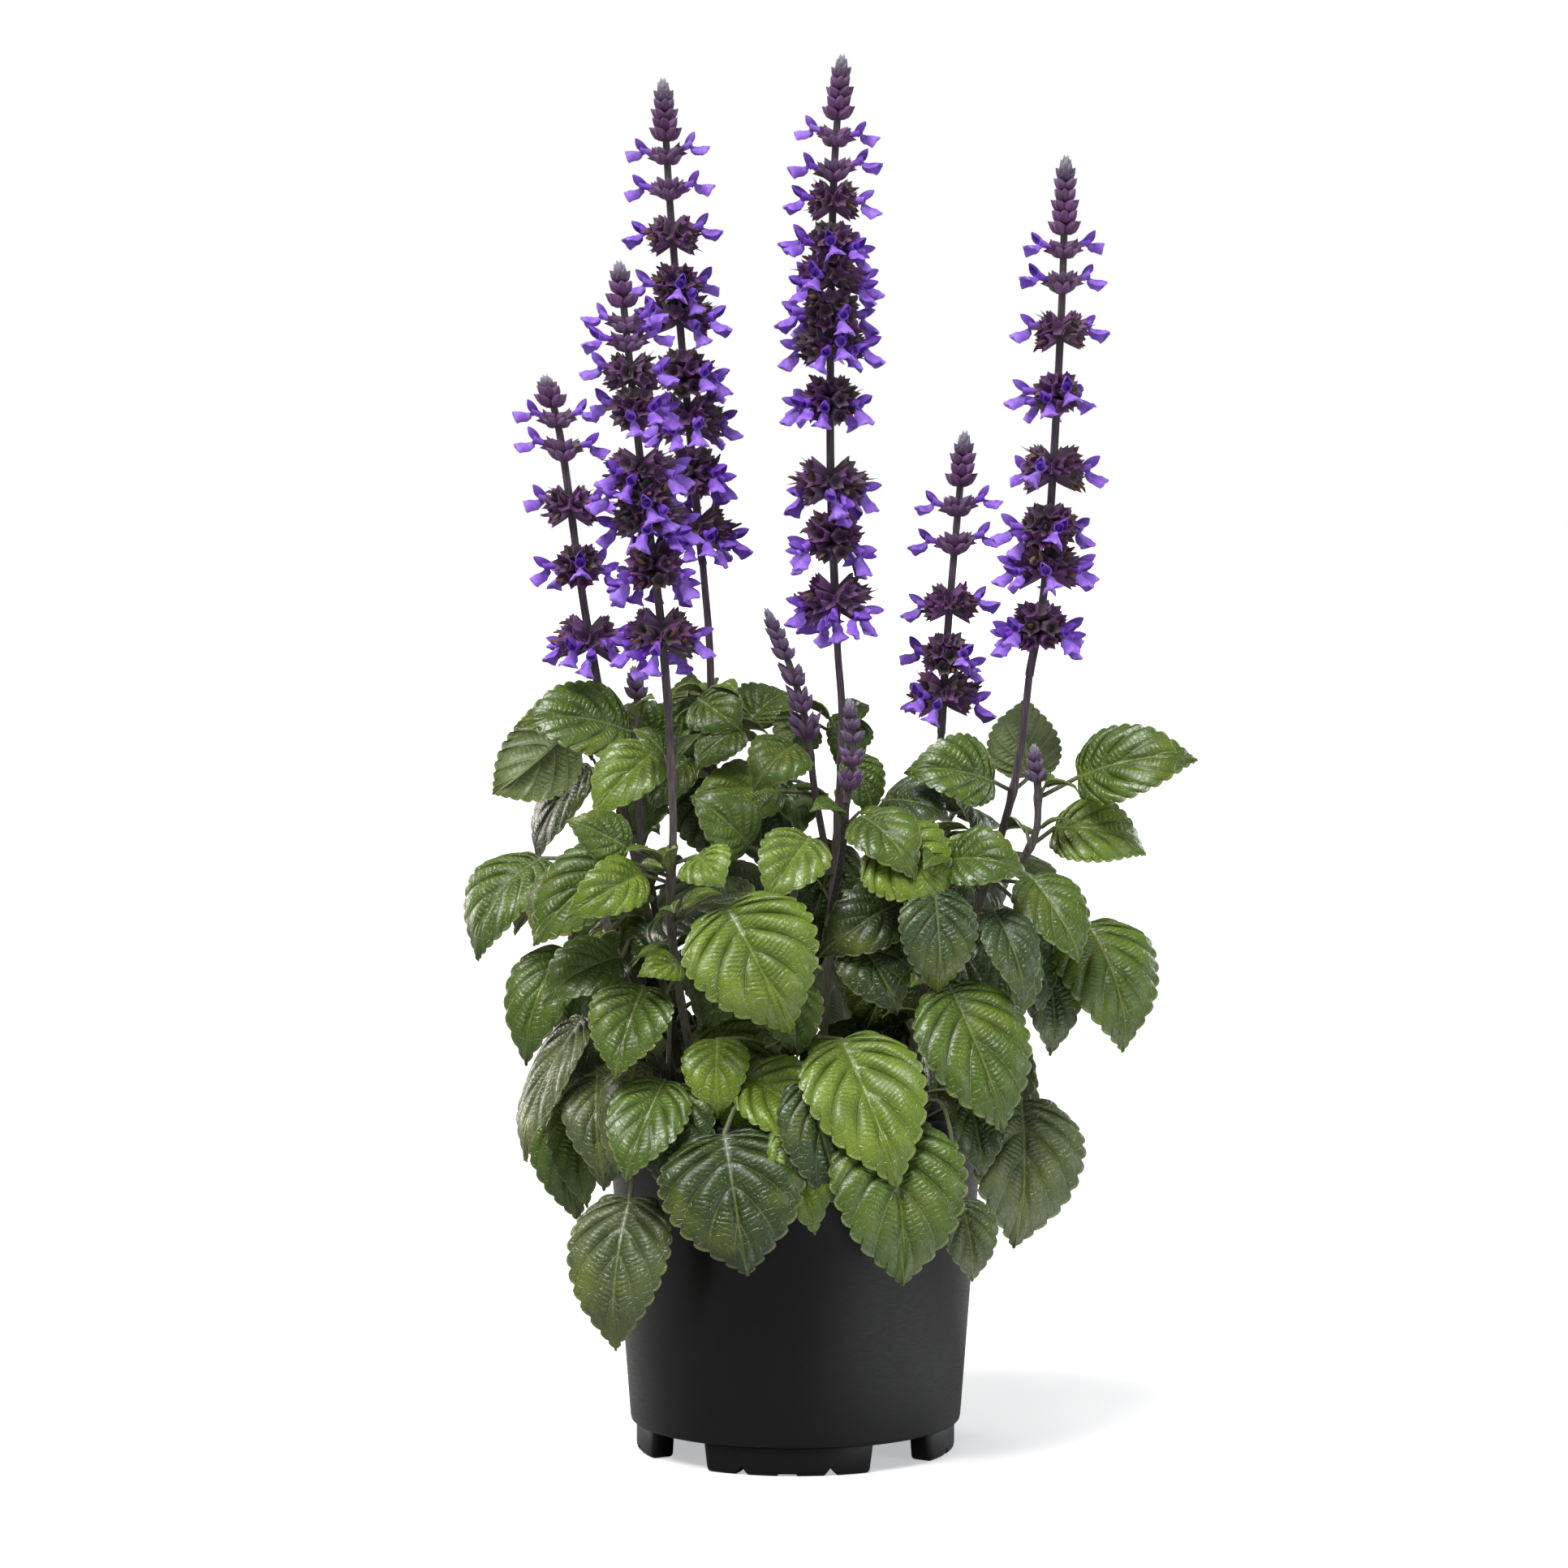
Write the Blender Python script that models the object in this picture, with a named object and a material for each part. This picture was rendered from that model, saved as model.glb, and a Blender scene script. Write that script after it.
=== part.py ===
"""A salvia with violet flower spikes in a black nursery pot.

Lengths are in millimetres until a mesh is made, and metres in the meshes.
The pot's axis is the middle of every table here. The finished object's origin
lies on the ground under the middle of the plant's spread.
"""

import math
import random

import bmesh
import bpy
from mathutils import Matrix, Vector
from mathutils.bvhtree import BVHTree

MM = 0.001
GAP = 0.3
# After a union, edges shorter than the first are closed up, and faces thinner
# than the second are turned.
SLIVER = 0.02
THIN = 0.01

# Sight line: places are read on the upright plane through the pot's axis and
# slid along the line from the eye to the depth that each piece lies at.
EYE_ACROSS = -5.0
EYE_DISTANCE = 2200.0
EYE_HEIGHT = 443.0

# Where the middle of the plant's spread lies from the pot's axis.
SPREAD_CENTRE = (13.9, 15.1)

# Pot
POT_HEIGHT = 150.0
POT_SIDES = 32
WALL = 1.6
FLOOR_LEVEL = 12.0
FLOOR_TOP = 14.0
RIM_INNER_LEVEL = 149.0
WALL_FOOT_RADIUS = 71.8
WALL_TOP_RADIUS = 82.0
RIM_RADIUS = 84.0
RIM_DEPTH = 9.0
STEP_INSET = 1.5
FOOT_INNER_RADIUS = 59.0
FOOT_SPAN = 62.0
FOOT_TOP = 13.2
FOOT_STEPS = 3
FOOT_HEADINGS = [-93, -3, 87, 177]
FOOT_NOTCH = 3.2
NOTCH_TURNS = [-18, 17]

# Potting soil
SOIL_TOP = 132.0
HOLE_DEPTH = 30.0
HOLE_HALF = 3.2

# Stems
STEM_HALF = 1.9
SHOOT_HALF = 1.5
STALK_WIDTH = 2.0
STALK_BEND = 0.12
RIM_CLEARANCE = 9.0
LONG_STALK = 26.0

# Leaves
BLADE_THICKNESS = 0.9
TEST_THICKNESS = 2.2
TEST_STALK = 3.0
EGG = 0.45
TOOTH_DEPTH = 0.16
TINY_LEAF = 35.0
LARGE_LEAF = 54.0
LOWEST_LEAF = 8.0
LOOK_OUT = 0.3
LOOK_UP = 0.55
LOOK_FRONT = 0.75
BACK_LOOK_OUT = 0.55
BACK_LOOK_UP = 0.85

# How a crowded leaf is bent: its size with its shift in depth, the angles, and
# which way each angle swings and lifts it.
NUDGE_SIZES = [(1.0, 0), (1.0, -6), (1.0, 7), (0.85, 0), (0.85, -10), (0.85, 10), (0.7, 0),
               (0.7, -14), (0.7, 14)]
NUDGE_ANGLES = [7, 14, 21, 28, 36]
NUDGE_WAYS = [(1, 0), (-1, 0), (0, 1), (0, -1), (1, 1), (-1, -1), (1, -1), (-1, 1)]

# Flower spikes
RACHIS_RADIUS = 1.9
# Spread and rise of the topmost whorl and of those from the full-size one down.
TOP_SPREAD = 7.5
LOW_SPREAD = 13.5
TOP_RISE = 8.5
LOW_RISE = 15.5
FULL_SIZE_WHORL = 5
CROWDING = 0.86
YOUNG_SHARE = 0.75
TIP_LEVEL = 0.43
VALLEY_LEVEL = 0.16
# Each ring of a whorl: level as a share of its rise, radius at a calyx and
# between two, as shares of its spread.
WHORL_PROFILE = [(-0.72, 0.0, 0.0), (-0.32, 0.88, 0.55), (TIP_LEVEL, 1.0, 0.50), (0.2, 0.0, 0.0)]
COLUMNS = 8
# Each ring of the bud cone: its level and its radius, as shares.
CONE_PROFILE = [(0.0, 0.55), (0.22, 0.95), (0.45, 1.0), (0.7, 0.72), (0.9, 0.36), (1.0, 0.08)]
CONE_DENT = 0.78
CONE_RADIUS = 6.2
YOUNG_CONE_RADIUS = 4.6
COROLLA_LENGTH = 15.0


def spot(across, up, depth):
    """A place seen at (across, up), slid along the sight line to its depth."""
    reach = (EYE_DISTANCE + depth) / EYE_DISTANCE
    x = EYE_ACROSS + (across - EYE_ACROSS) * reach
    z = EYE_HEIGHT + (up - EYE_HEIGHT) * reach
    return Vector((x, depth, z))


# Leafy stems, from the soil up: (across, up, depth).
STEMS = {
    "a": [(-45, 132, 5), (-57, 200, 6), (-73, 272, 6), (-85, 330, 5)],
    "b": [(-35, 132, -35), (-47, 180, -48), (-54, 230, -57), (-53, 273, -60), (-55, 322, -60)],
    "c": [(-25, 132, 30), (-31, 210, 32), (-36, 298, 32), (-37, 346, 30), (-40, 384, 30)],
    "d": [(10, 132, 0), (14, 210, 3), (20, 305, 5), (18, 350, 5)],
    "e": [(30, 132, 25), (46, 210, 26), (60, 285, 25), (63, 311, 25)],
    "f": [(45, 132, 10), (66, 195, 9), (89, 267, 6), (97, 302, 5), (101, 336, 5)],
    "k": [(-5, 132, -38), (-4, 180, -44), (-2, 230, -44), (3, 266, -38)],
    "l": [(40, 132, -22), (52, 180, -34), (60, 228, -38), (63, 254, -36)],
    "m": [(-52, 132, -10), (-66, 180, -14), (-82, 230, -8), (-86, 262, 4), (-84, 298, 20)],
    "n": [(-46, 132, -42), (-56, 160, -48), (-62, 181, -47)],
    "p": [(-38, 132, 42), (-54, 200, 54), (-66, 262, 60)],
    "q": [(36, 132, 44), (54, 205, 56), (66, 272, 62)],
    "r": [(2, 132, 50), (4, 200, 62), (-4, 276, 68)],
}

# Side shoots that bear the young spikes: stem they grow from, then their way.
SHOOTS = {
    "g": ("d", [(15, 250, 3), (9, 282, -2), (6, 304, -5)]),
    "h": ("d", [(14, 228, 3), (20, 258, -16), (22, 281, -24)]),
    "i": ("a", [(-66, 240, 6), (-68, 290, 2), (-68, 322, 5)]),
    "j": ("f", [(84, 248, 6), (96, 254, -5), (104, 268, -9), (105, 286, -10)]),
}

# Flower spikes: their way up, where the bud cone starts, the whorls from the
# top down, and how many of the top whorls have no open flower yet.
SPIKES = {
    "a": ([(-85, 330, 5), (-92, 371, 5), (-101, 437, 5), (-108, 466, 5)], 454,
          [447, 434, 410, 384, 353], 0),
    "b": ([(-55, 322, -60), (-59, 367, -60), (-67, 430, -60), (-76, 515, -60)], 497,
          [488, 480, 467, 452, 426, 414, 404, 384, 355], 0),
    "c": ([(-40, 384, 30), (-42, 402, 30), (-53, 526, 30), (-57, 593, 30)], 568,
          [560, 546, 526, 505, 492, 467, 448, 425, 400], 0),
    "d": ([(18, 350, 5), (15, 430, 5), (16, 539, 5), (20, 603, 5)], 577,
          [568, 554, 541, 523, 509, 494, 480, 455, 420, 397, 370], 0),
    "e": ([(63, 311, 25), (66, 360, 25), (73, 442, 25)], 420,
          [410, 394, 368, 346, 329], 0),
    "f": ([(101, 336, 5), (108, 381, 5), (114, 486, 5), (116, 560, 5)], 528,
          [520, 506, 485, 458, 426, 401, 385, 358], 0),
}

BUD_SPIKES = {
    "g": ([(6, 304, -5), (4, 318, -5), (-2, 339, -5), (-13, 366, -5)], 345, [336, 325, 314], 3),
    "h": ([(22, 281, -24), (25, 305, -24), (23, 327, -24)], 309, [301, 291], 2),
    "i": ([(-68, 322, 5), (-70, 341, 5)], 328, [], 0),
    "j": ([(105, 286, -10), (103, 307, -10)], 292, [], 0),
}

# Leaves seen from the front: stem, base, tip, width, roll about the midrib.
# Base and tip are (across, up, depth). A roll near 180 shows the underside.
LEAVES = [
    ("i", (-72, 312, 0), (-118, 300, -18), 42, 0),
    ("a", (-98, 312, 14), (-131, 284, 8), 38, 150),
    ("b", (-60, 304, -38), (-88, 277, -52), 32, 0),
    ("m", (-88, 296, 26), (-115, 256, 24), 34, 20),
    ("m", (-110, 257, 0), (-141, 215, -12), 46, 15),
    ("b", (-76, 257, -54), (-115, 221, -66), 38, 0),
    ("m", (-95, 250, -22), (-114, 222, -36), 26, 0),
    ("b", (-66, 250, -66), (-99, 232, -84), 26, -20),
    ("b", (-72, 261, -62), (-98, 274, -70), 24, 0),
    ("b", (-43, 258, -66), (-32, 246, -84), 26, 0),
    ("k", (-20, 262, -46), (-44, 284, -56), 28, 0),
    ("k", (6, 266, -48), (-12, 240, -70), 32, 0),
    ("b", (-30, 236, -74), (-2, 182, -92), 60, 0),
    ("g", (0, 306, -8), (-18, 288, -26), 30, 0),
    ("d", (-6, 286, 8), (-44, 286, -4), 32, 0),
    ("c", (-20, 316, 40), (-2, 330, 52), 32, 0),
    ("d", (4, 318, 22), (-6, 300, 26), 24, 150),
    ("c", (-42, 326, 20), (-24, 313, 6), 28, 0),
    ("c", (-24, 313, 10), (-44, 302, -4), 24, 0),
    ("c", (-46, 300, 24), (-64, 278, 20), 28, 0),
    ("c", (-50, 318, 40), (-44, 337, 46), 24, 180),
    ("c", (-58, 308, 34), (-75, 324, 38), 24, 0),
    ("h", (29, 275, -40), (52, 250, -62), 32, 0),
    ("l", (36, 264, -44), (66, 242, -58), 46, 0),
    ("e", (38, 282, 0), (66, 276, -16), 32, 0),
    ("d", (26, 318, 24), (16, 300, 14), 22, 0),
    ("d", (10, 316, 36), (14, 334, 46), 30, 0),
    ("j", (122, 292, 2), (173, 302, -8), 40, 0),
    ("j", (112, 270, 8), (152, 261, 0), 38, 0),
    ("f", (101, 292, 18), (98, 326, 24), 38, 180),
    ("f", (86, 290, -6), (48, 296, -14), 36, 0),
    ("l", (66, 256, -40), (96, 251, -60), 32, 0),
    ("j", (102, 249, -26), (124, 214, -48), 34, 0),
    ("l", (60, 243, -56), (62, 203, -80), 36, 0),
    ("l", (86, 234, -42), (100, 194, -58), 26, 0),
    ("l", (95, 230, -14), (108, 190, -26), 26, 0),
    ("j", (107, 218, -16), (119, 173, -34), 30, 0),
    ("j", (126, 229, -4), (140, 172, -20), 50, 0),
    ("l", (67, 201, -52), (92, 139, -72), 52, 0),
    ("l", (98, 152, -34), (97, 87, -52), 54, 0),
    ("k", (40, 141, -84), (48, 70, -96), 60, 0),
    ("k", (20, 178, -70), (45, 116, -108), 54, 0),
    ("k", (-31, 137, -84), (-21, 75, -102), 64, 0),
    ("n", (-72, 109, -64), (-80, 42, -82), 46, 0),
    ("n", (-66, 201, -58), (-79, 163, -80), 38, 0),
    ("m", (-76, 214, -40), (-102, 187, -58), 32, 0),
    ("m", (-100, 218, -12), (-119, 168, -30), 34, 0),
    ("m", (-92, 188, -36), (-122, 127, -52), 38, 35),
    ("m", (-82, 186, -14), (-101, 158, -30), 32, 0),
    ("n", (-86, 162, -44), (-84, 117, -66), 30, 0),
    ("m", (-95, 155, -22), (-92, 105, -40), 28, 0),
    ("a", (-100, 160, -4), (-96, 98, -18), 36, 0),
    ("n", (-69, 168, -56), (-78, 118, -70), 24, 0),
    ("n", (-57, 160, -66), (-72, 115, -90), 36, 0),
    ("k", (-34, 178, -60), (-34, 144, -76), 30, 0),
    ("k", (-22, 162, -64), (10, 114, -82), 36, 0),
    ("k", (-3, 203, -50), (1, 171, -62), 28, 0),
    ("k", (26, 222, -38), (45, 190, -50), 34, 0),
    ("l", (46, 238, -36), (10, 215, -48), 32, 0),
    ("l", (75, 155, -48), (82, 118, -62), 26, 0),
    ("l", (72, 108, -76), (78, 72, -84), 26, 0),
    ("n", (-50, 210, -62), (-69, 210, -74), 18, 0),
    ("c", (-38, 292, 40), (-50, 256, 32), 40, 0),
    ("m", (-74, 232, 8), (-56, 196, 2), 34, 0),
    ("k", (-20, 216, -28), (-42, 182, -34), 34, 0),
    ("d", (18, 264, 12), (6, 226, 8), 34, 0),
    ("e", (62, 264, 30), (86, 228, 26), 42, 0),
    ("e", (56, 232, 30), (86, 194, 26), 40, 0),
    ("d", (24, 302, 16), (42, 268, 12), 34, 0),
    ("e", (44, 218, 28), (28, 180, 22), 40, 0),
]

# Leaves of the back half: stem, height of each opposite pair, turn of the
# pair about the stem (0 points away from the viewer), blade length, droop.
BACK_PAIRS = [
    ("p", 168, 50, 72, 62), ("p", 204, -25, 66, 40), ("p", 238, 60, 58, 28), ("p", 262, -10, 44, 8),
    ("q", 172, -50, 72, 62), ("q", 210, 25, 66, 40), ("q", 246, -60, 58, 28), ("q", 272, 10, 44, 8),
    ("r", 164, 70, 70, 60), ("r", 200, -15, 66, 44), ("r", 238, 75, 58, 28), ("r", 276, 0, 46, 8),
    ("a", 226, 20, 58, 34), ("f", 226, 10, 58, 36), ("c", 300, 5, 50, 20), ("a", 180, 45, 60, 58),
    ("f", 180, -45, 60, 58),
]
BACK_PETIOLE = 24.0
BACK_WIDTH_SHARE = 0.74


# The leafy stem that each stem's or side shoot's leaves are fused into.
STEM_NODE = {key: key for key in STEMS}
STEM_NODE.update({key: stem for key, (stem, _) in SHOOTS.items()})


def point_at_height(points, height):
    """The place on a way at a height, both in millimetres."""
    for low, high in zip(points, points[1:]):
        if height <= high.z:
            share = (height - low.z) / (high.z - low.z)
            return low.lerp(high, max(0.0, share))
    return points[-1].copy()


def smooth_route(points, steps):
    """A smooth curve through a way's points."""
    ends = [points[0] * 2 - points[1]] + points + [points[-1] * 2 - points[-2]]
    curve = [points[0].copy()]
    for before, start, stop, after in zip(ends, ends[1:], ends[2:], ends[3:]):
        for step in range(1, steps + 1):
            t = step / steps
            curve.append(0.5 * (2 * start + (stop - before) * t
                                + (2 * before - 5 * start + 4 * stop - after) * t ** 2
                                + (3 * start - before - 3 * stop + after) * t ** 3))
    return curve


def stem_ways():
    """The way of each leafy stem, starting upright in the soil."""
    ways = {}
    for key, places in STEMS.items():
        points = [spot(*place) for place in places]
        points[0].z = SOIL_TOP
        ways[key] = smooth_route(points, 2)
    return ways


def shoot_ways():
    """The way of each side shoot."""
    return {key: smooth_route([spot(*place) for place in places], 2)
            for key, (_, places) in SHOOTS.items()}


def new_object(name, verts, faces, material=None):
    """An object with a closed mesh, from places in millimetres."""
    mesh = bpy.data.meshes.new(name)
    mesh.from_pydata([tuple(Vector(v) * MM) for v in verts], [], faces)
    shape = bmesh.new()
    shape.from_mesh(mesh)
    bmesh.ops.recalc_face_normals(shape, faces=shape.faces)
    shape.to_mesh(mesh)
    shape.free()
    obj = bpy.data.objects.new(name, mesh)
    if material:
        mesh.materials.append(material)
    return obj


def loft(rings):
    """Vertices and triangles of rings joined in order, closed at both ends."""
    count = len(rings[0])
    verts = [point for ring in rings for point in ring]
    faces = []
    for row in range(len(rings) - 1):
        for column in range(count):
            after = (column + 1) % count
            a = row * count + column
            b = row * count + after
            faces.append((a, b, b + count))
            faces.append((a, b + count, a + count))
    last = (len(rings) - 1) * count
    for column in range(1, count - 1):
        faces.append((0, column + 1, column))
        faces.append((last, last + column, last + column + 1))
    return verts, faces


def square_tube(points, half, taper=1.0):
    """A four-sided stem along a way that runs mostly upwards."""
    rings = []
    for index, point in enumerate(points):
        size = half * (1 + (taper - 1) * index / (len(points) - 1))
        rings.append([point + Vector((size * x, size * y, 0))
                      for x, y in ((1, 1), (-1, 1), (-1, -1), (1, -1))])
    return loft(rings)


def leaf_axes(leaf):
    """The leaf's length direction, its sideways direction and its face."""
    along = (leaf["tip"] - leaf["base"]).normalized()
    middle = (leaf["base"] + leaf["tip"]) / 2
    outward = Vector((middle.x, middle.y, 0)).normalized()
    if leaf["front"]:
        look = outward * LOOK_OUT + Vector((0, -LOOK_FRONT, LOOK_UP))
    else:
        look = outward * BACK_LOOK_OUT + Vector((0, 0, BACK_LOOK_UP))
    face = (look - along * look.dot(along)).normalized()
    face = Matrix.Rotation(math.radians(leaf["roll"]), 3, along) @ face
    return along, along.cross(face), face


def blade_point(leaf, axes, u, v):
    """A place on a blade: u runs from base to tip, v is the distance across."""
    along, side, face = axes
    length = (leaf["tip"] - leaf["base"]).length
    share = abs(v) / (leaf["width"] / 2)
    rise = leaf["arch"] * length * 4 * u * (1 - u)
    rise += math.tan(math.radians(leaf["fold"])) * abs(v)
    rise += leaf["ruffle"] * share ** 2 * math.sin(7.5 * u + leaf["phase"] + (1.3 if v > 0 else 0))
    return leaf["base"] + along * (length * u) + side * v + face * rise


def half_width(leaf, turn):
    """Half the blade's width at an angle round its egg-shaped outline."""
    return leaf["width"] / 2 * math.sin(turn) * (1 + EGG * math.cos(turn)) / 1.10


def blade(leaf, thickness, stalk):
    """A leaf on its stalk, split alike on both faces: places, blade, stalk."""
    axes = leaf_axes(leaf)
    teeth = leaf["teeth"]
    margin = []
    for k in range(1, 2 * teeth + 1):
        turn = math.pi * (k - 0.25) / (2 * teeth + 0.5)
        cut = TOOTH_DEPTH if k % 2 else 0.0
        margin.append((0.5 * (1 - math.cos(turn)), half_width(leaf, turn) * (1 - cut)))
    ribs = [(i + 1) / teeth for i in range(teeth - 1)]
    flat = [(0.0, stalk / 2), (0.0, -stalk / 2), (1.0, 0.0)] + [(u, 0.0) for u in ribs]
    flat += [(u, v) for u, v in margin] + [(u, -v) for u, v in margin]
    points = [blade_point(leaf, axes, u, v) for u, v in flat]
    first = 3 + len(ribs)
    rib_way = list(range(3, first)) + [2]
    left = [0] + [first + k for k in range(len(margin))] + [2]
    right = [1] + [first + len(margin) + k for k in range(len(margin))] + [2]
    faces = [(0, 3, 1)]
    faces += zip_ways(flat, rib_way, left)
    faces += [(a, c, b) for a, b, c in zip_ways(flat, rib_way, right)]
    half = axes[2] * thickness / 2
    verts = [p + half for p in points] + [p - half for p in points]
    count = len(points)
    solid = faces + [(a + count, c + count, b + count) for a, b, c in faces]
    rim = left + right[-2::-1]
    for here, after in zip(rim, rim[1:]):
        solid.append((here, after, after + count))
        solid.append((here, after + count, here + count))
    return verts, solid, stalk_faces(leaf, axes, verts, count, stalk)


def stalk_faces(leaf, axes, verts, count, stalk):
    """The leaf stalk's rings, added to the blade's places, and its faces."""
    base = leaf["base"]
    root = leaf["root"]
    way = base - root
    bend = root + way * 0.5 + Vector((0, 0, STALK_BEND * way.length))
    over_rim = (Vector((base.x, base.y)).length > RIM_RADIUS - 3
                and base.z < POT_HEIGHT + RIM_CLEARANCE)
    if over_rim:
        bend = root + way * 0.7
        bend.z = POT_HEIGHT + RIM_CLEARANCE
    rings = [[0, 1, 1 + count, count]]
    curved = over_rim or way.length > LONG_STALK
    stops = ((bend, way), (root, bend - root)) if curved else ((root, way),)
    for here, heading in stops:
        heading = heading.normalized()
        side = (axes[1] - heading * axes[1].dot(heading)).normalized()
        lift = side.cross(heading)
        if lift.dot(axes[2]) < 0 and here is bend:
            lift = -lift
        first = len(verts)
        for x, y in ((1, 1), (-1, 1), (-1, -1), (1, -1)):
            verts.append(here + (side * x + lift * y) * stalk / 2)
        rings.append([first, first + 1, first + 2, first + 3])
    faces = []
    for near, far in zip(rings, rings[1:]):
        for column in range(4):
            after = (column + 1) % 4
            faces.append((near[column], far[after], near[after]))
            faces.append((near[column], far[column], far[after]))
    last = rings[-1]
    faces.append((last[0], last[2], last[1]))
    faces.append((last[0], last[3], last[2]))
    return faces


def zip_ways(flat, rib_way, edge_way):
    """Triangles between the midrib and one margin, which share the tip."""
    triangles = []
    rib = 0
    edge = 0
    while rib < len(rib_way) - 1 or edge < len(edge_way) - 1:
        rib_next = flat[rib_way[rib + 1]][0] if rib < len(rib_way) - 1 else 9.0
        edge_next = flat[edge_way[edge + 1]][0] if edge < len(edge_way) - 1 else 9.0
        if edge_next <= rib_next:
            corner = (rib_way[rib], edge_way[edge], edge_way[edge + 1])
            edge += 1
        else:
            corner = (rib_way[rib], edge_way[edge], rib_way[rib + 1])
            rib += 1
        if len(set(corner)) == 3:
            triangles.append(corner)
    return triangles


def leaf_record(stem, base, tip, width, roll, root, index):
    """All that places and shapes one leaf."""
    return {
        "stem": stem, "base": base, "tip": tip, "width": width, "roll": roll, "root": root,
        "front": index < len(LEAVES),
        "arch": 0.10 + 0.05 * math.sin(2.1 * index),
        "fold": 9.0 + 6.0 * math.sin(1.3 * index),
        "ruffle": 0.022 * width * (1 + 0.5 * math.cos(1.7 * index)),
        "phase": 2.4 * index,
        "teeth": 2 if width < TINY_LEAF else 3 if width < LARGE_LEAF else 4,
    }


def planned_leaves(ways):
    """Every leaf before any is bent clear of its neighbours."""
    leaves = []
    for index, (stem, base, tip, width, roll) in enumerate(LEAVES):
        base_point = spot(*base)
        way = ways[stem]
        near = min(way, key=lambda p: (p - base_point).length)
        reach = Vector((near.x - base_point.x, near.y - base_point.y, 0)).length
        root = point_at_height(way, min(base_point.z - 0.35 * reach, way[-1].z - 3))
        root.z = max(root.z, SOIL_TOP + 4)
        root = point_at_height(way, root.z)
        leaves.append(leaf_record(stem, base_point, spot(*tip), width, roll, root, index))
    draw = random.Random(31)
    for stem, height, turn, length, droop in BACK_PAIRS:
        for side in (0, 180):
            root = point_at_height(ways[stem], height)
            angle = math.radians(90 + turn + side + draw.uniform(-14, 14))
            heading = Vector((math.cos(angle), math.sin(angle), 0))
            base = root + heading * BACK_PETIOLE + Vector((0, 0, 7))
            fall = math.radians(droop + draw.uniform(-8, 8))
            size = length * draw.uniform(0.88, 1.1)
            tip = base + (heading * math.cos(fall) - Vector((0, 0, math.sin(fall)))) * size
            leaves.append(leaf_record(stem, base, tip, size * BACK_WIDTH_SHARE, 0, root,
                                      len(leaves)))
    return leaves


def tree_of(parts):
    """A search tree over one or more (vertices, triangles) pairs."""
    verts = []
    faces = []
    for part_verts, part_faces in parts:
        faces += [tuple(i + len(verts) for i in face) for face in part_faces]
        verts += part_verts
    return BVHTree.FromPolygons(verts, faces)


def moved_leaf(leaf, swing, lift, size, shift):
    """A copy of a leaf turned about its base and shifted in depth."""
    base = leaf["base"] + Vector((0, shift, 0))
    reach = leaf["tip"] - leaf["base"]
    side = Vector((-reach.y, reach.x, 0))
    side = side.normalized() if side.length > 1 else Vector((1, 0, 0))
    reach = Matrix.Rotation(math.radians(lift), 3, side) @ reach
    reach = Matrix.Rotation(math.radians(swing), 3, "Z") @ reach
    copy = dict(leaf)
    copy["base"] = base
    copy["tip"] = base + reach * size
    copy["width"] = leaf["width"] * size
    return copy


def nudges():
    """The turns that a crowded leaf tries, from the smallest up."""
    tries = [(0, 0, 1.0, 0)]
    for size, shift in NUDGE_SIZES:
        for angle in NUDGE_ANGLES:
            for swing, lift in NUDGE_WAYS:
                tries.append((swing * angle, lift * angle, size, shift))
    return tries


def settle_leaves(ways, fixed):
    """Bend each leaf clear of the stems, spikes, pot and earlier leaves."""
    settled = []
    placed = []
    tries = nudges()
    for leaf in planned_leaves(ways):
        node = STEM_NODE[leaf["stem"]]
        found = None
        for turn in tries:
            trial = moved_leaf(leaf, *turn)
            verts, faces, stalk = blade(trial, TEST_THICKNESS, TEST_STALK)
            if min(v.z for v in verts) < LOWEST_LEAF:
                continue
            whole = BVHTree.FromPolygons(verts, faces + stalk)
            alone = BVHTree.FromPolygons(verts, faces)
            if any((alone if key == node else whole).overlap(tree) for key, tree in fixed):
                continue
            if any(crosses(node, whole, alone, other) for other in placed):
                continue
            found = (node, whole, alone)
            settled.append(trial)
            break
        if found is None:
            print("no room for the leaf of stem", leaf["stem"], "at", leaf["base"])
            continue
        placed.append(found)
    return settled


def crosses(node, whole, alone, other):
    """Whether a leaf crosses an earlier one; stalks of one stem may meet."""
    other_node, other_whole, other_alone = other
    if node == other_node:
        return bool(alone.overlap(other_whole) or whole.overlap(other_alone))
    return bool(whole.overlap(other_whole))


def whorl_rows(way, height, spread, rise, turn, parity):
    """Rings of one whorl: waist, swollen calyces, calyx tips and the rachis above."""
    rows = []
    for level, body, valley in WHORL_PROFILE:
        ring = []
        for column in range(COLUMNS):
            angle = math.tau * column / COLUMNS
            pair = 1 + 0.16 * math.cos(2 * (angle - turn))
            tip = column % 2 == parity
            radius = max(RACHIS_RADIUS, spread * (body if tip else valley) * pair)
            lift = level if tip or level < TIP_LEVEL else VALLEY_LEVEL
            centre = point_at_height(way, height + rise * lift)
            ring.append(centre + Vector((math.cos(angle), math.sin(angle), 0)) * radius)
        rows.append(ring)
    return rows


def plain_ring(centre, radius):
    """A round ring about a place on the rachis."""
    return [centre + Vector((math.cos(math.tau * c / COLUMNS),
                             math.sin(math.tau * c / COLUMNS), 0)) * radius
            for c in range(COLUMNS)]


def cone_rows(way, start, top, radius):
    """Rings of the bud cone, with the buds raised in alternate columns."""
    rows = []
    for index, (share, size) in enumerate(CONE_PROFILE):
        centre = point_at_height(way, start + (top - start) * share)
        ring = []
        for column in range(COLUMNS):
            angle = math.tau * column / COLUMNS
            bud = 1.0 if (column // 2 + index) % 2 else CONE_DENT
            ring.append(centre + Vector((math.cos(angle), math.sin(angle), 0))
                        * radius * size * bud)
        rows.append(ring)
    return rows


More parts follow.
